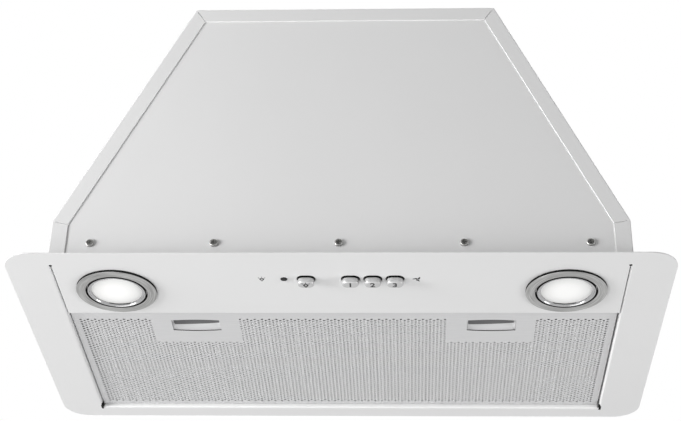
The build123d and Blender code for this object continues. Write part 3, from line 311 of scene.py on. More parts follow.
def zincSheet():
    # Galvanized sheet with its spangle
    g = galvanized
    made, tree, shader = newMaterial("zincSheet", g["colour"], g["roughness"], g["metallic"])
    spangle = tree.nodes.new("ShaderNodeTexVoronoi")
    spangle.inputs["Scale"].default_value = g["spangle"]
    tree.links.new(objectPlace(tree), spangle.inputs["Vector"])
    varyColour(tree, shader, spangle.outputs["Color"], g["dark"], g["light"], 0.1, 0.9)
    varyRoughness(tree, shader, spangle.outputs["Distance"], g["smooth"], g["rough"])
    return made


def moulded(name, colour, roughness, scale=1500, drift=0.006, bump=0.3, shine=0.4):
    # Moulded plastic or rubber with an eroded texture; the same helper makes the flat dark colours used as
    # painted shade
    made, tree, shader = newMaterial(name, colour, roughness)
    shader.inputs["Specular IOR Level"].default_value = shine
    varyColour(tree, shader, objectNoise(tree, 40, 3), *shades(colour, drift))
    skin = objectNoise(tree, scale, 2)
    varyRoughness(tree, shader, skin, roughness - 0.06, roughness + 0.06)
    addBump(tree, shader, skin, bump, 0.00003)
    return made


lampCentre = (178, -85.9)


def fromLampCentre(tree):
    # The way from the nearer lamp's centre, and its length
    split = tree.nodes.new("ShaderNodeSeparateXYZ")
    tree.links.new(objectPlace(tree), split.inputs["Vector"])
    away = mathNode(tree, "ABSOLUTE", split.outputs["X"])
    flat = tree.nodes.new("ShaderNodeCombineXYZ")
    for value, centre, name in ((away, lampCentre[0], "X"), (split.outputs["Y"], lampCentre[1], "Y")):
        tree.links.new(mathNode(tree, "SUBTRACT", value, centre * mm), flat.inputs[name])
    radius = tree.nodes.new("ShaderNodeVectorMath")
    radius.operation = "LENGTH"
    tree.links.new(flat.outputs["Vector"], radius.inputs[0])
    return flat.outputs["Vector"], radius.outputs["Value"]


brushed = {
    "colour": (0.40, 0.40, 0.395), "drift": 0.14, "roughness": 0.34, "smooth": 0.28, "rough": 0.46,
    "lines": 1500, "arcs": 60, "drawn": 0.75,
}


def brushedBezel():
    # Turned and brushed round each lamp's own centre, with scratches that fade in and out
    made, tree, shader = newMaterial("brushedBezel", brushed["colour"], brushed["roughness"], 1.0)
    outwards, radius = fromLampCentre(tree)
    lines = tree.nodes.new("ShaderNodeTexNoise")
    lines.noise_dimensions = "4D"
    lines.inputs["Scale"].default_value = brushed["arcs"]
    lines.inputs["Detail"].default_value = 2
    stretched = mathNode(tree, "MULTIPLY", radius, brushed["lines"] / brushed["arcs"])
    tree.links.new(stretched, lines.inputs["W"])
    tree.links.new(objectPlace(tree), lines.inputs["Vector"])
    varyColour(tree, shader, lines.outputs["Fac"], *shades(brushed["colour"], brushed["drift"]))
    varyRoughness(tree, shader, lines.outputs["Fac"], brushed["smooth"], brushed["rough"])
    addBump(tree, shader, lines.outputs["Fac"], 0.4, 0.00003)
    # Scratches run round the ring, so its shine is drawn out from the centre
    shader.inputs["Anisotropic"].default_value = brushed["drawn"]
    tree.links.new(outwards, shader.inputs["Tangent"])
    return made


frost = {
    "colour": (0.84, 0.84, 0.83), "roughness": 0.5, "coat": 0.12, "coatRoughness": 0.3, "blast": 2200,
    "smooth": 0.42, "rough": 0.6,
    "glowColour": (1, 1, 0.99), "glow": 0.22, "rimGlow": 0.0, "glowFrom": 8, "glowTo": 20.5,
}


def frostedGlass():
    # Sand-blasted glass over a lamp, with a painted glow that fades towards its edge; no lamp lights it from
    # behind
    made, tree, shader = newMaterial("frostedGlass", frost["colour"], frost["roughness"])
    shader.inputs["Coat Weight"].default_value = frost["coat"]
    shader.inputs["Coat Roughness"].default_value = frost["coatRoughness"]
    shader.inputs["Emission Color"].default_value = (*frost["glowColour"], 1)
    radius = fromLampCentre(tree)[1]
    fade = tree.nodes.new("ShaderNodeMapRange")
    fade.inputs["From Min"].default_value = frost["glowFrom"] * mm
    fade.inputs["From Max"].default_value = frost["glowTo"] * mm
    fade.inputs["To Min"].default_value = frost["glow"]
    fade.inputs["To Max"].default_value = frost["rimGlow"]
    tree.links.new(radius, fade.inputs["Value"])
    tree.links.new(fade.outputs["Result"], shader.inputs["Emission Strength"])
    blast = objectNoise(tree, frost["blast"], 1)
    varyRoughness(tree, shader, blast, frost["smooth"], frost["rough"])
    addBump(tree, shader, blast, 0.2, 0.00002)
    return made


strands = {
    # gap is painted shade: the darker colour between the strands stands in for the shade in the mesh's
    # openings
    "colour": (0.88, 0.88, 0.88), "strand": (0.93, 0.93, 0.93), "gap": (0.66, 0.66, 0.66),
    "roughness": 0.38, "smooth": 0.3, "rough": 0.5, "metallic": 0.6, "cells": 620, "long": (1, 0.6, 1),
}


def meshMetal():
    # Expanded aluminium: bright strands, with painted shade darkening the gaps between them
    m = strands
    made, tree, shader = newMaterial("meshMetal", m["colour"], m["roughness"], m["metallic"])
    cells = tree.nodes.new("ShaderNodeTexVoronoi")
    cells.feature = "DISTANCE_TO_EDGE"
    cells.inputs["Scale"].default_value = m["cells"]
    tree.links.new(objectPlace(tree, m["long"]), cells.inputs["Vector"])
    varyColour(tree, shader, cells.outputs["Distance"], m["strand"], m["gap"], 0.05, 0.35)
    varyRoughness(tree, shader, objectNoise(tree, 300, 2), m["smooth"], m["rough"])
    addBump(tree, shader, cells.outputs["Distance"], 0.6, 0.0004)
    return made


def darkTint(name, colour, roughness, shine=0.15):
    # Dark plastic or ink with a trace of haze
    made, tree, shader = newMaterial(name, colour, roughness)
    shader.inputs["Specular IOR Level"].default_value = shine
    haze = objectNoise(tree, 500, 2)
    varyColour(tree, shader, haze, *shades(colour, 0.004))
    varyRoughness(tree, shader, haze, roughness, roughness + 0.1)
    return made


def dress(material, *names):
    # Gives CAD nodes their material
    for name in names:
        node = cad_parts[name]
        node.data.materials.clear()
        node.data.materials.append(material)


# Modelling helpers


def stopEditing():
    # Object mode, with nothing selected
    if bpy.context.mode != "OBJECT":
        bpy.ops.object.mode_set(mode="OBJECT")
    bpy.ops.object.select_all(action="DESELECT")


def begin(name, addPrimitive, **how):
    # One primitive, alone in the selection, with its edit mode open
    stopEditing()
    addPrimitive(**how)
    made = bpy.context.object
    made.name = name
    made.data.name = name
    bpy.ops.object.mode_set(mode="EDIT")
    bpy.context.tool_settings.mesh_select_mode = (True, False, False)
    return made


def place(*values):
    # Millimetres to metres
    return tuple(value * mm for value in values)


def pick(made, kind, wanted):
    # Selects the points, edges or faces that the rule wants, and nothing else
    bpy.context.tool_settings.mesh_select_mode = (kind == "VERT", kind == "EDGE", kind == "FACE")
    bpy.ops.mesh.select_all(action="DESELECT")
    mesh = bmesh.from_edit_mesh(made.data)
    shift = made.matrix_world.translation / mm
    for part in {"VERT": mesh.verts, "EDGE": mesh.edges, "FACE": mesh.faces}[kind]:
        if kind == "VERT":
            middle = part.co / mm
        elif kind == "EDGE":
            middle = (part.verts[0].co + part.verts[1].co) / (2 * mm)
        else:
            middle = part.calc_center_median() / mm
        if wanted(middle + shift, part):
            part.select_set(True)
    mesh.select_flush_mode()
    bmesh.update_edit_mesh(made.data)


def pickAll():
    bpy.ops.mesh.select_all(action="SELECT")


def drawOut(*by):
    bpy.ops.mesh.extrude_region_move(TRANSFORM_OT_translate={"value": place(*by)})


def move(*by):
    bpy.ops.transform.translate(value=place(*by))


def resize(factors, *centre):
    bpy.ops.transform.resize(value=factors, center_override=place(*centre))


def spin(angle, axis, *centre):
    bpy.ops.transform.rotate(value=angle, orient_axis=axis, center_override=place(*centre))


def cut(made, near, point, normal):
    # Cuts the faces near by with a plane
    pick(made, "FACE", near)
    bpy.ops.mesh.bisect(plane_co=place(*point), plane_no=normal)


def closeUp():
    # Joins loose seams and turns all faces outwards
    pickAll()
    bpy.ops.mesh.remove_doubles(threshold=0.000002)
    bpy.ops.mesh.normals_make_consistent(inside=False)


def lathe(name, centre, profile, steps):
    # A circle drawn out through the profile's (radius, height) pairs; open ends are filled flat
    x, y = centre
    radius, height = profile[0]
    made = begin(
        name, bpy.ops.mesh.primitive_circle_add, vertices=steps, radius=radius * mm,
        location=place(x, y, height),
    )
    pickAll()
    for nextRadius, nextHeight in profile[1:]:
        drawOut(0, 0, nextHeight - height)
        resize((nextRadius / radius, nextRadius / radius, 1), x, y, nextHeight)
        radius, height = nextRadius, nextHeight
    pickAll()
    bpy.ops.mesh.remove_doubles(threshold=0.000002)
    pick(made, "EDGE", lambda p, edge: edge.is_boundary)
    bpy.ops.mesh.fill_holes(sides=0)
    closeUp()
    return made


def alone(made):
    stopEditing()
    made.select_set(True)
    bpy.context.view_layer.objects.active = made


def harden(made, kind, name, **settings):
    # Adds a modifier and applies it
    alone(made)
    modifier = made.modifiers.new(name, kind)
    for key, value in settings.items():
        setattr(modifier, key, value)
    bpy.ops.object.modifier_apply(modifier=name)


def copyTo(made, name, *by):
    alone(made)
    bpy.ops.object.duplicate(linked=False)
    twin = bpy.context.object
    twin.name = name
    twin.data.name = name
    move(*by)
    return twin


def unite(made, *others):
    alone(made)
    for other in others:
        other.select_set(True)
    bpy.ops.object.join()


def settle(made, body, slot, material, *nodes, degrees=30):
    # Finishes a piece: place into its mesh, shading, material, body and the nodes it stands for
    alone(made)
    bpy.ops.object.transform_apply(location=True, rotation=True, scale=True)
    bpy.ops.object.shade_smooth_by_angle(angle=math.radians(degrees))
    if not made.data.materials:
        made.data.materials.append(material)
    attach(made, body)
    if nodes:
        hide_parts(*nodes)


def paintPicked(made, material):
    # Gives the picked faces a second material
    made.data.materials.append(material)
    made.active_material_index = len(made.data.materials) - 1
    bpy.ops.object.material_slot_assign()


# Grease filter face

filterFace = {
    "left": -223.8, "right": 223.0, "front": -46.5, "rear": 127.1, "bottom": 2.5,
    "columnPitch": 3.01, "rowPitch": 2.0, "cells": 114, "hole": 1.2, "holeRound": 0.0858, "near": 0.01,
    "holesWide": 217.5, "holesFront": -32.5, "holesRear": 121.5,
    "latchX": 122, "plainHalf": 36, "plainEnd": 7.5,
    "pullHalf": 20, "pullFront": -31.15, "pullRear": -11.85, "pullBow": 1.3,
    "slotHalf": 12, "slotLow": 5.4, "slotHigh": 8.6,
    "sheet": 0.6, "margin": 2, "holeArea": 2.5, "longEdge": 100,
    # the plain patch that a finger hole is cut from, and how far its cuts reach
    "patchHalf": 31, "patchFront": -43, "patchRear": 1, "patchReach": 45, "patchReachRear": 9,
    # the strip of front wall that a tongue slot is cut from
    "wallReach": 20, "wallFrom": 1, "wallTo": 8.5,
    # (in from the edge, up from the face)
    "edge": ((0.7, 0), (0.35, 0.09), (0.09, 0.35), (0, 0.7), (0, 8.2), (0.23, 8.77), (0.8, 9.0), (5, 9.0)),
}


def addFilterFace(material, shadow):
    f = filterFace
    midX, midY = (f["left"] + f["right"]) / 2, (f["holesFront"] + f["holesRear"]) / 2
    cells, bottom = f["cells"], f["bottom"]
    # Turned by 45 degrees, the grid's points are the staggered columns of holes
    pitch = f["columnPitch"] * math.sqrt(2)
    made = begin(
        "filterFace", bpy.ops.mesh.primitive_grid_add, x_subdivisions=cells, y_subdivisions=cells,
        size=cells * pitch * mm, location=place(midX, midY, bottom),
    )
    pickAll()
    spin(math.radians(45), "Z", midX, midY, bottom)
    squash = f["rowPitch"] / f["columnPitch"]
    resize((1, squash, 1), midX, midY, bottom)
    halfX = f["holesWide"] + f["margin"]
    halfY = (f["holesRear"] - f["holesFront"]) / 2 + f["margin"]
    for sideX, sideY in ((1, 0), (-1, 0), (0, 1), (0, -1)):
        pickAll()
        spot = place(midX + sideX * halfX, midY + sideY * halfY, bottom)
        bpy.ops.mesh.bisect(plane_co=spot, plane_no=(sideX, sideY, 0), clear_outer=True)

    def inPlain(p):
        return abs(abs(p.x) - f["latchX"]) < f["plainHalf"] and p.y < f["plainEnd"]

    def isHole(p, point):
        inside = abs(p.x - midX) < f["holesWide"] and f["holesFront"] < p.y < f["holesRear"]
        return inside and not inPlain(p) and len(point.link_edges) == 4

    pick(made, "VERT", isHole)
    along = f["hole"] * math.hypot(1, squash) / math.sqrt(2)
    bpy.ops.mesh.bevel(
        offset=along * mm, segments=2, profile=f["holeRound"], affect="VERTICES", clamp_overlap=False
    )
    holeArea = f["holeArea"] * mm * mm
    pick(made, "FACE", lambda p, face: len(face.verts) == 4 and face.calc_area() < holeArea)
    bpy.ops.mesh.delete(type="FACE")
    roundHoles(made, midX, midY, squash)

    # The plain border, the bent-up walls and the lip turned in
    wide, long, atX, atY, up = 2 * halfX, 2 * halfY, midX, midY, 0

    def onRim(p, edge):
        beyondX = abs(abs(p.x - midX) - halfX) < f["near"]
        return edge.is_boundary and (beyondX or abs(abs(p.y - midY) - halfY) < f["near"])

    def isBetween(p, point):
        # On the rim drawn out last, but not at its corners
        nearX = wide / 2 - abs(p.x - atX) < f["near"]
        nearY = long / 2 - abs(p.y - atY) < f["near"]
        return point.is_boundary and nearX != nearY

    def isLong(p, edge):
        return edge.is_boundary and edge.calc_length() > f["longEdge"] * mm

    pick(made, "EDGE", onRim)
    for inset, height in f["edge"]:
        newWide = f["right"] - f["left"] - 2 * inset
        newLong = f["rear"] - f["front"] - 2 * inset
        newX, newY = (f["left"] + f["right"]) / 2, (f["front"] + f["rear"]) / 2
        drawOut(0, 0, 0)
        resize((newWide / wide, newLong / long, 1), atX, atY, bottom + up)
        move(newX - atX, newY - atY, height - up)
        firstRim = up == height
        wide, long, atX, atY, up = newWide, newLong, newX, newY, height
        if firstRim:
            pick(made, "VERT", isBetween)
            bpy.ops.mesh.dissolve_verts()
            pick(made, "EDGE", isLong)

    for side in (-1, 1):
        addPullHole(made, side * f["latchX"])
        addTongueSlot(made, side * f["latchX"])
    pickAll()
    bpy.ops.mesh.normals_make_consistent(inside=False)
    turnDown(made, bottom)
    harden(made, "SOLIDIFY", "sheetThickness", thickness=f["sheet"] * mm, offset=-1, use_even_offset=True)
    made.data.materials.append(material)
    bpy.ops.object.mode_set(mode="EDIT")

    # The walls round each finger hole's window are painted black: painted shade for the dark outline of the
    # gap round the latch
    def isWindowEdge(p, face):
        acrossIt = abs(abs(p.x) - f["latchX"]) < f["pullHalf"] + 0.1
        alongIt = f["pullFront"] - 0.1 < p.y < f["pullRear"] + 0.1
        return acrossIt and alongIt and bottom < p.z < bottom + f["sheet"] and abs(face.normal.z) < 0.5

    pick(made, "FACE", isWindowEdge)
    paintPicked(made, shadow)
    bpy.ops.object.mode_set(mode="OBJECT")
    settle(made, "filter", "filter_lacquer", material, "filter_tray", degrees=35)


def roundHoles(made, midX, midY, squash):
    # The holes are wider than long: moves their upper and lower points out until they are round
    f = filterFace

    def upFromCentre(p):
        across, along = (p.x - midX) / f["columnPitch"], (p.y - midY) / f["rowPitch"]
        first, second = (across + along) / 2, (across - along) / 2
        return ((first - round(first)) - (second - round(second))) * f["rowPitch"]

    def isMoved(p, point):
        return point.is_boundary and abs(upFromCentre(p) * way - share * top) < 0.03

    top = f["hole"] * squash
    for share in (1, math.sqrt(0.5)):
        for way in (-1, 1):
            pick(made, "VERT", isMoved)
            move(0, way * share * (f["hole"] - top), 0)


def turnDown(made, height):
    # The side seen from below looks down: turns the sheet over if it doesn't
    pick(made, "FACE", lambda p, face: abs(p.z - height) < 0.05 and abs(face.normal.z) > 0.9)
    mesh = bmesh.from_edit_mesh(made.data)
    if sum(face.normal.z for face in mesh.faces if face.select) > 0:
        pickAll()
        bpy.ops.mesh.flip_normals()


def bowEnds(made, x, front, rear, half, bow, height, points=9):
    # Divides a window's front and rear edges and bows them outwards
    def isEnd(p, edge):
        atEnd = min(abs(p.y - front), abs(p.y - rear)) < 0.1
        return abs(p.x - x) < 0.1 and atEnd and abs(p.z - height) < 0.05

    def isMoved(p, point):
        # The point of either edge that this step moves
        onLine = abs(p.y - y) < 0.05 and abs(p.z - height) < 0.05
        return onLine and abs(p.x - x - offset) < 0.1

    pick(made, "EDGE", isEnd)
    bpy.ops.mesh.subdivide(number_cuts=points)
    for number in range(1, points + 1):
        offset = (2 * number / (points + 1) - 1) * half
        reach = bow * (1 - (offset / half) ** 2)
        for y, way in ((front, -1), (rear, 1)):
            pick(made, "VERT", isMoved)
            move(0, way * reach, 0)


def addPullHole(made, x):
    # A finger hole with bowed front and rear edges, in the plain area round a latch
    f = filterFace
    bottom = f["bottom"]
    left, right, front, rear = x - f["patchHalf"], x + f["patchHalf"], f["patchFront"], f["patchRear"]

    def near(p, face):
        return abs(p.x - x) < f["patchReach"] and p.y < f["patchReachRear"] and p.z < bottom + 0.01

    def inBox(p, face):
        return left < p.x < right and front < p.y < rear and p.z < bottom + 0.01

    for spot, normal in (
        ((left, 0, bottom), (1, 0, 0)), ((right, 0, bottom), (1, 0, 0)),
        ((x, front, bottom), (0, 1, 0)), ((x, rear, bottom), (0, 1, 0)),
    ):
        cut(made, near, spot, normal)
    pick(made, "FACE", inBox)
    bpy.ops.mesh.delete(type="FACE")
    middle, crown = (f["pullFront"] + f["pullRear"]) / 2, (f["pullRear"] - f["pullFront"]) / 2
    straight = crown - f["pullBow"]
    bpy.ops.mesh.primitive_plane_add(size=2 * mm, location=place(x, middle, bottom))
    resize((f["pullHalf"], straight, 1), x, middle, bottom)
    bpy.ops.mesh.delete(type="ONLY_FACE")
    bowEnds(made, x, middle - straight, middle + straight, f["pullHalf"], f["pullBow"], bottom)

    def isLoop(p, edge):
        onBox = edge.is_boundary and left - 0.1 < p.x < right + 0.1 and front - 0.1 < p.y < rear + 0.1
        return p.z < bottom + 0.01 and (onBox or not edge.link_faces)

    pick(made, "EDGE", isLoop)
    bpy.ops.mesh.fill()


def addTongueSlot(made, x):
    # The slot in the front wall that a latch's tongue passes through
    f = filterFace

    def onWall(p):
        return p.y < f["front"] + f["near"]

    def near(p, face):
        up = p.z - f["bottom"]
        return abs(p.x - x) < f["wallReach"] and onWall(p) and f["wallFrom"] < up < f["wallTo"]

    def inSlot(p, face):
        return abs(p.x - x) < f["slotHalf"] and onWall(p) and f["slotLow"] < p.z < f["slotHigh"]

    for spot, normal in (
        ((x - f["slotHalf"], 0, 0), (1, 0, 0)), ((x + f["slotHalf"], 0, 0), (1, 0, 0)),
        ((x, 0, f["slotLow"]), (0, 0, 1)), ((x, 0, f["slotHigh"]), (0, 0, 1)),
    ):
        cut(made, near, spot, normal)
    pick(made, "FACE", inSlot)
    bpy.ops.mesh.delete(type="FACE")


# Mesh pad behind the face

filterPad = {
    "left": -213.6, "right": 215.2, "front": -28.2, "rear": 120.2, "bottom": 3.2, "thick": 6.0,
    "columns": 74, "rows": 48, "wave": 0.6, "knit": 0.3, "knitSize": 2.2,
    # the room left for each latch, and how far its cuts reach
    "latchX": 122, "roomHalf": 33, "roomEnd": 8.5, "reach": 50, "reachEnd": 14,
}


def addFilterPad(material):
    f = filterPad
    wide, long = f["right"] - f["left"], f["rear"] - f["front"]
    x, y = (f["left"] + f["right"]) / 2, (f["front"] + f["rear"]) / 2
    made = begin(
        "filterPad", bpy.ops.mesh.primitive_grid_add, x_subdivisions=f["columns"], y_subdivisions=f["rows"],
        size=2 * mm, location=place(x, y, f["bottom"]),
    )
    pickAll()
    resize((wide / 2, long / 2, 1), x, y, f["bottom"])
    step = wide / f["columns"]
    pick(made, "VERT", lambda p, v: round((p.x - f["left"]) / step) % 2 == 1)
    move(0, 0, f["wave"])

    def isNear(p, face):
        return abs(p.x - middle) < f["reach"] and p.y < f["reachEnd"]

    def isInRoom(p, face):
        return abs(p.x - middle) < f["roomHalf"] and p.y < f["roomEnd"]

    for side in (-1, 1):
        middle = side * f["latchX"]
        for spot, normal in (
            ((middle - f["roomHalf"], 0, 0), (1, 0, 0)), ((middle + f["roomHalf"], 0, 0), (1, 0, 0)),
            ((0, f["roomEnd"], 0), (0, 1, 0)),
        ):
            cut(made, isNear, spot, normal)
        pick(made, "FACE", isInRoom)
        bpy.ops.mesh.delete(type="FACE")
    pickAll()
    drawOut(0, 0, f["thick"])
    closeUp()
    knit = bpy.data.textures.new("knitTexture", "CLOUDS")
    knit.noise_scale = f["knitSize"] * mm
    harden(
        made, "DISPLACE", "knit", texture=knit, texture_coords="LOCAL", strength=f["knit"] * mm,
        mid_level=0.5, direction="Z",
    )
    settle(made, "filter", "mesh_aluminium", material, "filter_mesh", degrees=80)


# Filter latches

latch = {
    "x": 122, "half": 26, "front": -37.15, "rear": -4.85, "height": 3.4, "wall": 1.0,
    "mouthHalf": 19.4, "mouthFront": -30.6, "mouthRear": -12.45, "bow": 0.7,
    "deep": 5.4, "floorLong": 6.5, "draft": 0.9, "round": 0.9, "shade": 2.5, "shadeSlope": 0.018,
    "tongueHalf": 11, "tongueTip": -50.75, "tongueLow": 6.0, "tongueHigh": 8.0, "rootLong": 1.5,
    "stopHalf": 4, "stopLong": 1.2, "stopTop": 9.6,
    "overlap": 0.2, "tipRound": 0.6, "stopRound": 0.3, "foldAngle": 0.5,
}


def addLatches(material, shadow):
    f = latch
    x, height = f["x"], f["height"]
    middle, half = (f["mouthFront"] + f["mouthRear"]) / 2, (f["mouthRear"] - f["mouthFront"]) / 2
    straight = half - f["bow"]
    spot = place(x, middle, height)
    made = begin("latchRight", bpy.ops.mesh.primitive_plane_add, size=2 * mm, location=spot)
    pickAll()
    resize((f["mouthHalf"], straight, 1), x, middle, height)
    bowEnds(made, x, middle - straight, middle + straight, f["mouthHalf"], f["bow"], height)
    pickAll()
    drawOut(0, 0, f["deep"])
    resize(((f["mouthHalf"] - f["draft"]) / f["mouthHalf"], 1, 1), x, middle, height + f["deep"])
    pick(made, "VERT", lambda p, v: p.z > height + 1 and p.y > middle)
    move(0, f["floorLong"] - 2 * half, 0)
    pick(made, "FACE", lambda p, face: p.z < height + 0.01)
    bpy.ops.mesh.delete(type="FACE")

    def isFold(p, edge):
        return p.z > height + 1 and len(edge.link_faces) == 2 and edge.calc_face_angle(0) > f["foldAngle"]

    pick(made, "EDGE", isFold)
    bpy.ops.mesh.bevel(offset=f["round"] * mm, segments=3, affect="EDGES")
    pick(made, "EDGE", lambda p, edge: edge.is_boundary)
    drawOut(0, 0, 0)
    plateHalf = (f["rear"] - f["front"]) / 2
    resize((f["half"] / f["mouthHalf"], plateHalf / half, 1), x, middle, height)
    move(0, (f["front"] + f["rear"]) / 2 - middle, 0)
    closeUp()
    turnDown(made, height)
    harden(made, "SOLIDIFY", "wall", thickness=f["wall"] * mm, offset=-1, use_even_offset=True)
    made.data.materials.append(material)
    bpy.ops.object.mode_set(mode="EDIT")

    def isCupSide(p, face):
        return p.z > height + 0.05 and abs(p.x - x) < f["mouthHalf"] and face.normal.z < 0.1

    def isShaded(p, face):
        return isCupSide(p, face) and p.z > height + f["shade"] + f["shadeSlope"] * (p.x - x)

    # The cup's deep end is painted dark gray: painted shade under the window's front edge, reaching further
    # on the left
    cut(made, isCupSide, (x, 0, height + f["shade"]), (-f["shadeSlope"], 0, 1))
    pick(made, "FACE", isShaded)
    paintPicked(made, shadow)
    bpy.ops.object.mode_set(mode="OBJECT")
    unite(made, latchTongue(material), latchStop(material))
    twin = copyTo(made, "latchLeft", -2 * x, 0, 0)
    settle(made, "latch_right", "filter_lacquer", material, "latch_right", degrees=40)
    settle(twin, "latch_left", "filter_lacquer", material, "latch_left", degrees=40)


def latchTongue(material):
    f = latch
    long = f["front"] + f["rootLong"] - f["tongueTip"]
    y, z = f["tongueTip"] + long / 2, (f["tongueLow"] + f["tongueHigh"]) / 2
    made = begin("latchTongue", bpy.ops.mesh.primitive_cube_add, size=2 * mm, location=place(f["x"], y, z))
    pickAll()
    resize((f["tongueHalf"], long / 2, (f["tongueHigh"] - f["tongueLow"]) / 2), f["x"], y, z)
    bpy.ops.mesh.bisect(plane_co=place(0, f["front"], 0), plane_no=(0, 1, 0))
    pick(made, "FACE", lambda p, face: p.z < f["tongueLow"] + 0.01 and p.y > f["front"])
    drawOut(0, 0, f["height"] + f["overlap"] - f["tongueLow"])
    pick(made, "EDGE", lambda p, edge: p.y < f["tongueTip"] + 0.01)
    bpy.ops.mesh.bevel(offset=f["tipRound"] * mm, segments=3, affect="EDGES")
    closeUp()
    made.data.materials.append(material)
    return made


def latchStop(material):
    f = latch
    y, z = f["rear"] - f["stopLong"] / 2, (f["height"] + f["overlap"] + f["stopTop"]) / 2
    made = begin("latchStop", bpy.ops.mesh.primitive_cube_add, size=2 * mm, location=place(f["x"], y, z))
    pickAll()
    resize((f["stopHalf"], f["stopLong"] / 2, f["stopTop"] - z), f["x"], y, z)
    pick(made, "EDGE", lambda p, edge: p.z > f["stopTop"] - 0.01)
    bpy.ops.mesh.bevel(offset=f["stopRound"] * mm, segments=2, affect="EDGES")
    made.data.materials.append(material)
    return made


# Lamps

lampRing = {
    "steps": 96,
    # where the painted shade and painted reflection begin and end: rolled edge, gap's wall, inner ring's
    # wall and foot
    "rolledFrom": 31.9, "rolledTo": -2.7, "gapWall": 24.8, "gapLow": -3.05, "gapHigh": 0.35,
    "ringWall": 22.95, "ringLow": -3.1,
    "footReach": 21.0, "footHalf": 9.5, "footLow": -2.6, "footHigh": -1.8,
    # (radius, height) round each section
    "bezel": (
        (32.0, -0.8), (32.0, -2.75), (31.8, -2.9), (24.7, -3.1), (24.3, -2.9), (24.3, 0.3), (25.4, 0.3),
        (25.4, 12.0), (27.4, 12.0), (27.4, -0.8), (32.0, -0.8),
    ),
    "inner": (
        (23.1, 0.3), (23.1, -2.9), (22.85, -3.25), (22.5, -3.4), (22.1, -3.3), (21.8, -2.95), (21.6, -2.5),
        (20.6, -2.35), (20.2, -2.2), (20.2, -1.75), (22.6, -1.7), (22.6, 0.3), (23.1, 0.3),
    ),
    "glass": (
        (22.5, 0.3), (22.5, -1.55), (22.35, -1.7), (20.1, -1.7), (19.6, -1.95), (16, -2.2), (10, -2.4),
        (4, -2.5),
    ),
}


def addLamps(bezel, shadow, chrome, glass):
    f = lampRing
    x, y = lampCentre

    def away(p):
        return math.hypot(p.x - x, p.y - y)

    def isDark(p, face):
        # Painted dark: a painted reflection on the rolled outer edge and painted shade on the gap's wall
        isRolled = away(p) > f["rolledFrom"] and p.z > f["rolledTo"]
        return isRolled or (away(p) < f["gapWall"] and f["gapLow"] < p.z < f["gapHigh"])

    def isFoot(p, face):
        # The inner ring's foot beside the glass, painted dark as shade at the front and rear
        inReach = away(p) < f["footReach"] and abs(p.x - x) < f["footHalf"]
        return inReach and f["footLow"] < p.z < f["footHigh"]

    ring = lathe("bezelRight", lampCentre, f["bezel"], f["steps"])
    ring.data.materials.append(bezel)
    pick(ring, "FACE", isDark)
    paintPicked(ring, shadow)
    twin = copyTo(ring, "bezelLeft", -2 * x, 0, 0)
    settle(ring, "housing", "lamp_steel", bezel, "lamp_bezel_right")
    settle(twin, "housing", "lamp_steel", bezel, "lamp_bezel_left")
    inner = lathe("lampInnerRings", lampCentre, f["inner"], f["steps"])
    inner.data.materials.append(chrome)
    # The inner ring's outer wall is painted black: painted shade in the groove between the ring and the
    # bezel
    pick(inner, "FACE", lambda p, face: away(p) > f["ringWall"] and p.z > f["ringLow"])
    paintPicked(inner, shadow)
    pick(inner, "FACE", isFoot)
    bpy.ops.object.material_slot_assign()
    unite(inner, copyTo(inner, "innerLeft", -2 * x, 0, 0))
    settle(inner, "housing", "lamp_chrome", chrome, "lamp_rings", degrees=50)
    pane = lathe("lampGlassRight", lampCentre, f["glass"], f["steps"])
    twin = copyTo(pane, "lampGlassLeft", -2 * x, 0, 0)
    settle(pane, "housing", "lamp_frost", glass, "lamp_glass_right", degrees=40)
    settle(twin, "housing", "lamp_frost", glass, "lamp_glass_left", degrees=40)


# Push buttons

button = {
    "y": -103.2, "lightX": -26.1, "speedX": (8.7, 26.1, 43.5), "wide": 13, "long": 9, "corner": 5.15,
    "stemRadius": 2.4, "stemTop": 17.0, "stemRound": 0.4, "rimTop": 4.0, "rim": 0.9, "paintedShadeFrom": -1.95,
    # (out from the outline, height): rim, neck painted black as shade, wall and rounded end
    "steps": (
        (0.9, 2.0), (-0.6, 2.0), (-0.6, -1.8), (-0.1, -1.9), (0, -2.1), (0, -5.3), (-0.15, -5.95),
        (-0.5, -6.35), (-1.0, -6.52), (-1.8, -6.54),
    ),
    "signHeight": -6.54, "signSize": 8.2, "signBold": 0.22, "signThick": 0.05,
    "lampSignSize": 1.7, "lampSignHollow": 0.4,
}


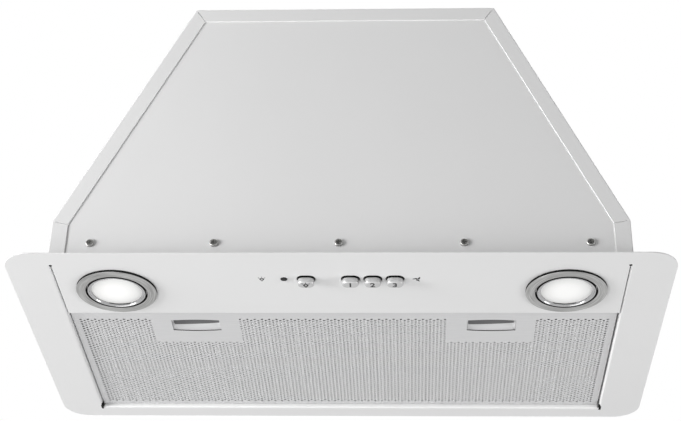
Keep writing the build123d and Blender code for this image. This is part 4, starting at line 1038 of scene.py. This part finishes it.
def addButtons(cap, shadow, ink):
    f = button
    x, y, top = f["lightX"], f["y"], f["rimTop"]
    made = begin("buttonLight", bpy.ops.mesh.primitive_plane_add, size=2 * mm, location=place(x, y, top))
    pickAll()
    wide, long = f["wide"] + 2 * f["rim"], f["long"] + 2 * f["rim"]
    resize((wide / 2, long / 2, 1), x, y, top)
    bpy.ops.mesh.bevel(offset=f["corner"] * mm, segments=8, affect="VERTICES")
    pickAll()
    height = top
    for out, nextHeight in f["steps"]:
        newWide, newLong = f["wide"] + 2 * out, f["long"] + 2 * out
        drawOut(0, 0, nextHeight - height)
        resize((newWide / wide, newLong / long, 1), x, y, nextHeight)
        wide, long, height = newWide, newLong, nextHeight
    closeUp()
    made.data.materials.append(cap)
    # The rim and neck above the wall are painted black: painted shade in the gap round the cap
    pick(made, "FACE", lambda p, face: p.z > f["paintedShadeFrom"])
    paintPicked(made, shadow)
    stemLong = f["stemTop"] - top
    stem = begin(
        "buttonStem", bpy.ops.mesh.primitive_cylinder_add, vertices=32, radius=f["stemRadius"] * mm,
        depth=stemLong * mm, location=place(x, y, top + stemLong / 2),
    )
    pick(stem, "EDGE", lambda p, edge: p.z > f["stemTop"] - 0.01)
    bpy.ops.mesh.bevel(offset=f["stemRound"] * mm, segments=2, affect="EDGES")
    # The stem is painted black as well, painted shade behind the gap
    stem.data.materials.append(shadow)
    unite(made, stem)
    speeds = [copyTo(made, "button%d" % n, at - x, 0, 0) for n, at in enumerate(f["speedX"], 1)]
    settle(made, "button_light", "button_plastic", cap, "button_light", degrees=35)
    for number, speed in enumerate(speeds, 1):
        settle(speed, "button_%d" % number, "button_plastic", cap, "button_%d" % number, degrees=35)
        addDigit(number, f["speedX"][number - 1], ink)
    spot = (x, y, f["signHeight"])
    sign = lampSign("buttonLightSign", spot, f["lampSignSize"], f["signThick"], f["lampSignHollow"])
    settle(sign, "button_light", "button_plastic", ink)


def addDigit(number, x, ink):
    # The button's number, read from below with the front edge upwards
    f = button
    stopEditing()
    bpy.ops.object.text_add(location=(0, 0, 0))
    made = bpy.context.object
    made.name = "button%dNumber" % number
    made.data.body = str(number)
    made.data.align_x = "CENTER"
    made.data.align_y = "CENTER"
    made.data.size = f["signSize"] * mm
    made.data.extrude = f["signThick"] * mm / 2
    made.data.offset = f["signBold"] * mm
    bpy.ops.object.convert(target="MESH")
    made = bpy.context.object
    made.rotation_euler = (math.pi, 0, 0)
    made.location = place(x, f["y"], f["signHeight"])
    settle(made, "button_%d" % number, "button_plastic", ink)


# (across, down, wide, long) as shares of the sign's size
bulb = {
    "radius": 1.25, "cap": (0, 1.75, 0.9, 0.45),
    "rayDegrees": (-50, 0, 50), "rayReach": 2.05, "rayWide": 0.4, "rayLong": 0.9,
}


def lampSign(name, spot, size, thick, hollow):
    # A bulb: a ring with a cap below it and three rays above, seen from below
    x, y, height = spot
    ring = begin(
        name, bpy.ops.mesh.primitive_circle_add, vertices=24, radius=bulb["radius"] * size * mm,
        location=place(*spot),
    )
    pickAll()
    drawOut(0, 0, 0)
    resize((hollow, hollow, 1), *spot)
    pickAll()
    drawOut(0, 0, -thick)
    closeUp()
    bars = [(*bulb["cap"], 0)]
    for degrees in bulb["rayDegrees"]:
        turn = math.radians(degrees)
        away = (bulb["rayReach"] * math.sin(turn), -bulb["rayReach"] * math.cos(turn))
        bars.append((*away, bulb["rayWide"], bulb["rayLong"], degrees))
    for offX, offY, wide, long, degrees in bars:
        bpy.ops.mesh.select_all(action="DESELECT")
        at = (x + offX * size, y + offY * size, height - thick / 2)
        bpy.ops.mesh.primitive_cube_add(size=mm, location=place(*at))
        resize((wide * size, long * size, thick), *at)
        spin(math.radians(-degrees), "Z", *at)
    closeUp()
    return ring


# Springs behind the buttons and latches

coils = {"wire": 0.3, "turns": 5, "sides": 8, "steps": 24, "buttonTravel": 3.5, "latchTravel": 5.0}


def coilSpring(node, body, along, material):
    # Fills its node's box with a coil along z or y
    low, high = (Vector(corner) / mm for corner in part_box(node))
    middle = (low + high) / 2
    base = Vector((middle.x, middle.y, low.z) if along == "Z" else (middle.x, low.y, middle.z))
    length = (high - low)[2 if along == "Z" else 1]
    wire, turns = coils["wire"], coils["turns"]
    first, *others = node.split("_")
    made = begin(
        first + "".join(other.title() for other in others), bpy.ops.mesh.primitive_circle_add,
        vertices=coils["sides"], radius=wire * mm, location=place(*base),
    )
    pickAll()
    spin(math.pi / 2, "X", *base)
    move((high - low).x / 2 - wire, 0, wire)
    harden(
        made, "SCREW", "coil", axis="Z", screw_offset=(length - 2 * wire) / turns * mm, iterations=turns,
        steps=coils["steps"], render_steps=coils["steps"],
    )
    bpy.ops.object.mode_set(mode="EDIT")
    pick(made, "EDGE", lambda p, edge: edge.is_boundary)
    bpy.ops.mesh.fill_holes(sides=0)
    closeUp()
    if along == "Y":
        spin(math.pi / 2, "X", *base)
    settle(made, body, "spring_steel", material, node, degrees=60)
    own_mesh(made)


def addSprings(material):
    for name in ("light", "1", "2", "3"):
        coilSpring("spring_" + name, "housing", "Z", material)
    for side in ("left", "right"):
        coilSpring("latch_spring_" + side, "filter", "Y", material)


# Small signs printed on the strip

printed = {
    "lampX": -60.9, "fanX": 60.9, "y": -103.0, "height": -0.8, "thick": 0.03, "size": 1.5, "ring": 0.45,
    # one blade, as shares of the size and in radians
    "firstDegrees": 15, "reach": 1.3, "radius": 0.75, "long": 1.75, "taper": 0.6, "lean": 0.5,
}


def addPrintedSigns(ink):
    f = printed
    sign = lampSign("stripLampSign", (f["lampX"], f["y"], f["height"]), f["size"], f["thick"], f["ring"])
    settle(sign, "housing", "white_paint", ink)
    made = None
    for turn in range(3):
        # One fan blade, a bent drop, at each third of a turn
        angle = math.radians(120 * turn + f["firstDegrees"])
        reach = f["reach"] * f["size"]
        x, y = f["fanX"] + reach * math.sin(angle), f["y"] + reach * math.cos(angle)
        spot = (x, y, f["height"] - f["thick"] / 2)
        blade = begin(
            "fanBlade%d" % turn, bpy.ops.mesh.primitive_cylinder_add, vertices=16,
            radius=f["radius"] * f["size"] * mm, depth=f["thick"] * mm, location=place(*spot),
        )
        pickAll()
        resize((1, f["long"], 1), *spot)
        pick(blade, "VERT", lambda p, v: p.y > y)
        resize((f["taper"], 1, 1), *spot)
        pickAll()
        spin(angle + f["lean"], "Z", *spot)
        if made:
            unite(made, blade)
        else:
            made = blade
    made.name = "stripFanSign"
    settle(made, "housing", "white_paint", ink)


# Black pieces in the open corners of the sheet at the filter opening's rear: painted shade in the slots

cornerSlot = {"x": 225.1, "y": 127.4, "half": 1.0, "halfLong": 3.8, "low": -0.86, "high": 3.0}


def addCornerSlots(shadow):
    f = cornerSlot
    x, y, low = f["x"], f["y"], f["low"]
    made = begin(
        "cornerSlotRight", bpy.ops.mesh.primitive_circle_add, vertices=16, radius=f["half"] * mm,
        fill_type="NGON", location=place(x, y, low),
    )
    for way in (-1, 1):
        pick(made, "VERT", lambda p, v: (p.y - y) * way > 0.01)
        move(0, way * (f["halfLong"] - f["half"]), 0)
    pickAll()
    drawOut(0, 0, f["high"] - low)
    closeUp()
    twin = copyTo(made, "cornerSlotLeft", -2 * x, 0, 0)
    settle(made, "housing", "white_paint", shadow)
    settle(twin, "housing", "white_paint", shadow)


# Black discs in the round ends of the side slits: painted shade filling the open relief holes

slitEnd = {"x": 224.0, "y": -124.0, "radius": 1.2, "low": -0.78, "high": 0.1}


def addSlitEnds(shadow):
    f = slitEnd
    for side, name in ((-1, "slitEndLeft"), (1, "slitEndRight")):
        made = begin(
            name, bpy.ops.mesh.primitive_circle_add, vertices=24, radius=f["radius"] * mm,
            fill_type="NGON", location=place(side * f["x"], f["y"], f["low"]),
        )
        pickAll()
        drawOut(0, 0, f["high"] - f["low"])
        closeUp()
        settle(made, "housing", "white_paint", shadow)


addCamera()
addStudio()
white = powderCoat()
lacquer = silverLacquer()
zinc = zincSheet()
nickel = metal("nickelScrew", (0.40, 0.40, 0.39), 0.44, 900)
spring = metal("springWire", (0.42, 0.42, 0.42), 0.30, 1200)
steelBar = metal("groundBar", (0.56, 0.56, 0.56), 0.28, 900, stretch=(0.08, 1, 1))
canMetal = metal("drawnCan", (0.62, 0.62, 0.62), 0.36, 700, stretch=(1, 1, 0.1))
chrome = metal("chromeRing", (0.42, 0.42, 0.425), 0.14, 500, drift=0.02, bump=0.03)
buttonSilver = metal("buttonSilver", (0.54, 0.54, 0.54), 0.38, 1400, drift=0.015, metallic=0.45)
bezel = brushedBezel()
glass = frostedGlass()
pad = meshMetal()
black = moulded("fanBlack", (0.028, 0.028, 0.030), 0.46)
gray = moulded("scrollGray", (0.30, 0.31, 0.32), 0.50)
enamel = moulded("motorEnamel", (0.16, 0.17, 0.18), 0.36, scale=500)
rubber = moulded("bushRubber", (0.030, 0.030, 0.030), 0.70, scale=2200)
sheath = moulded("leadSheath", (0.62, 0.62, 0.61), 0.48, scale=1800)
housingWhite = moulded("partsWhite", (0.78, 0.78, 0.76), 0.42)
board = moulded("boardWhite", (0.74, 0.74, 0.72), 0.38, scale=900)
# Painted shade: the dark gray in the latches' finger cups
recess = moulded("paintedRecessShade", (0.15, 0.15, 0.152), 0.6, shine=0.2)
# Painted shade and painted reflection: the black in gaps, grooves, slots, holes and the bezels' rolled edges
shadow = moulded("paintedShadeBlack", (0.012, 0.012, 0.012), 0.6, shine=0.05)
tint = darkTint("indicatorTint", (0.012, 0.012, 0.013), 0.12)
ink = darkTint("signInk", (0.03, 0.03, 0.032), 0.5)
grayInk = darkTint("stripInk", (0.04, 0.04, 0.042), 0.55)
print("materials made")

dress(white, "base_panel", "housing_wrap", "front_panel", "back_panel")
dress(zinc, "front_rail", "switch_bracket", "motor_bracket", "latch_covers", "capacitor_clip")
dress(nickel, "housing_screws", "collar_screws", "volute_screws", "motor_screws")
dress(nickel, "switch_nuts", "filter_pins")
dress(spring, "lamp_clips", "damper_pin", "inlet_guard")
dress(black, "impeller", "duct_collar", "damper_flap_left", "damper_flap_right", "switch_block")
dress(gray, "volute_left", "volute_right")
dress(enamel, "motor_body")
dress(steelBar, "motor_shaft")
dress(rubber, "motor_bushes", "cable_grommet")
dress(sheath, "lead_motor", "lead_lamp_left", "lead_lamp_right", "lead_switch")
dress(housingWhite, "terminal_box", "terminal_lid", "capacitor", "lead_clips")
dress(tint, "indicator_lens")
dress(canMetal, "lamp_cups", "filter_grid")
dress(board, "lamp_boards")
print("CAD nodes dressed")

addFilterFace(lacquer, shadow)
addFilterPad(pad)
print("filter made")
addLatches(lacquer, recess)
print("latches made")
addLamps(bezel, shadow, chrome, glass)
print("lamps made")
addButtons(buttonSilver, shadow, ink)
addPrintedSigns(grayInk)
addCornerSlots(shadow)
addSlitEnds(shadow)
addSprings(spring)
print("buttons, signs and springs made")
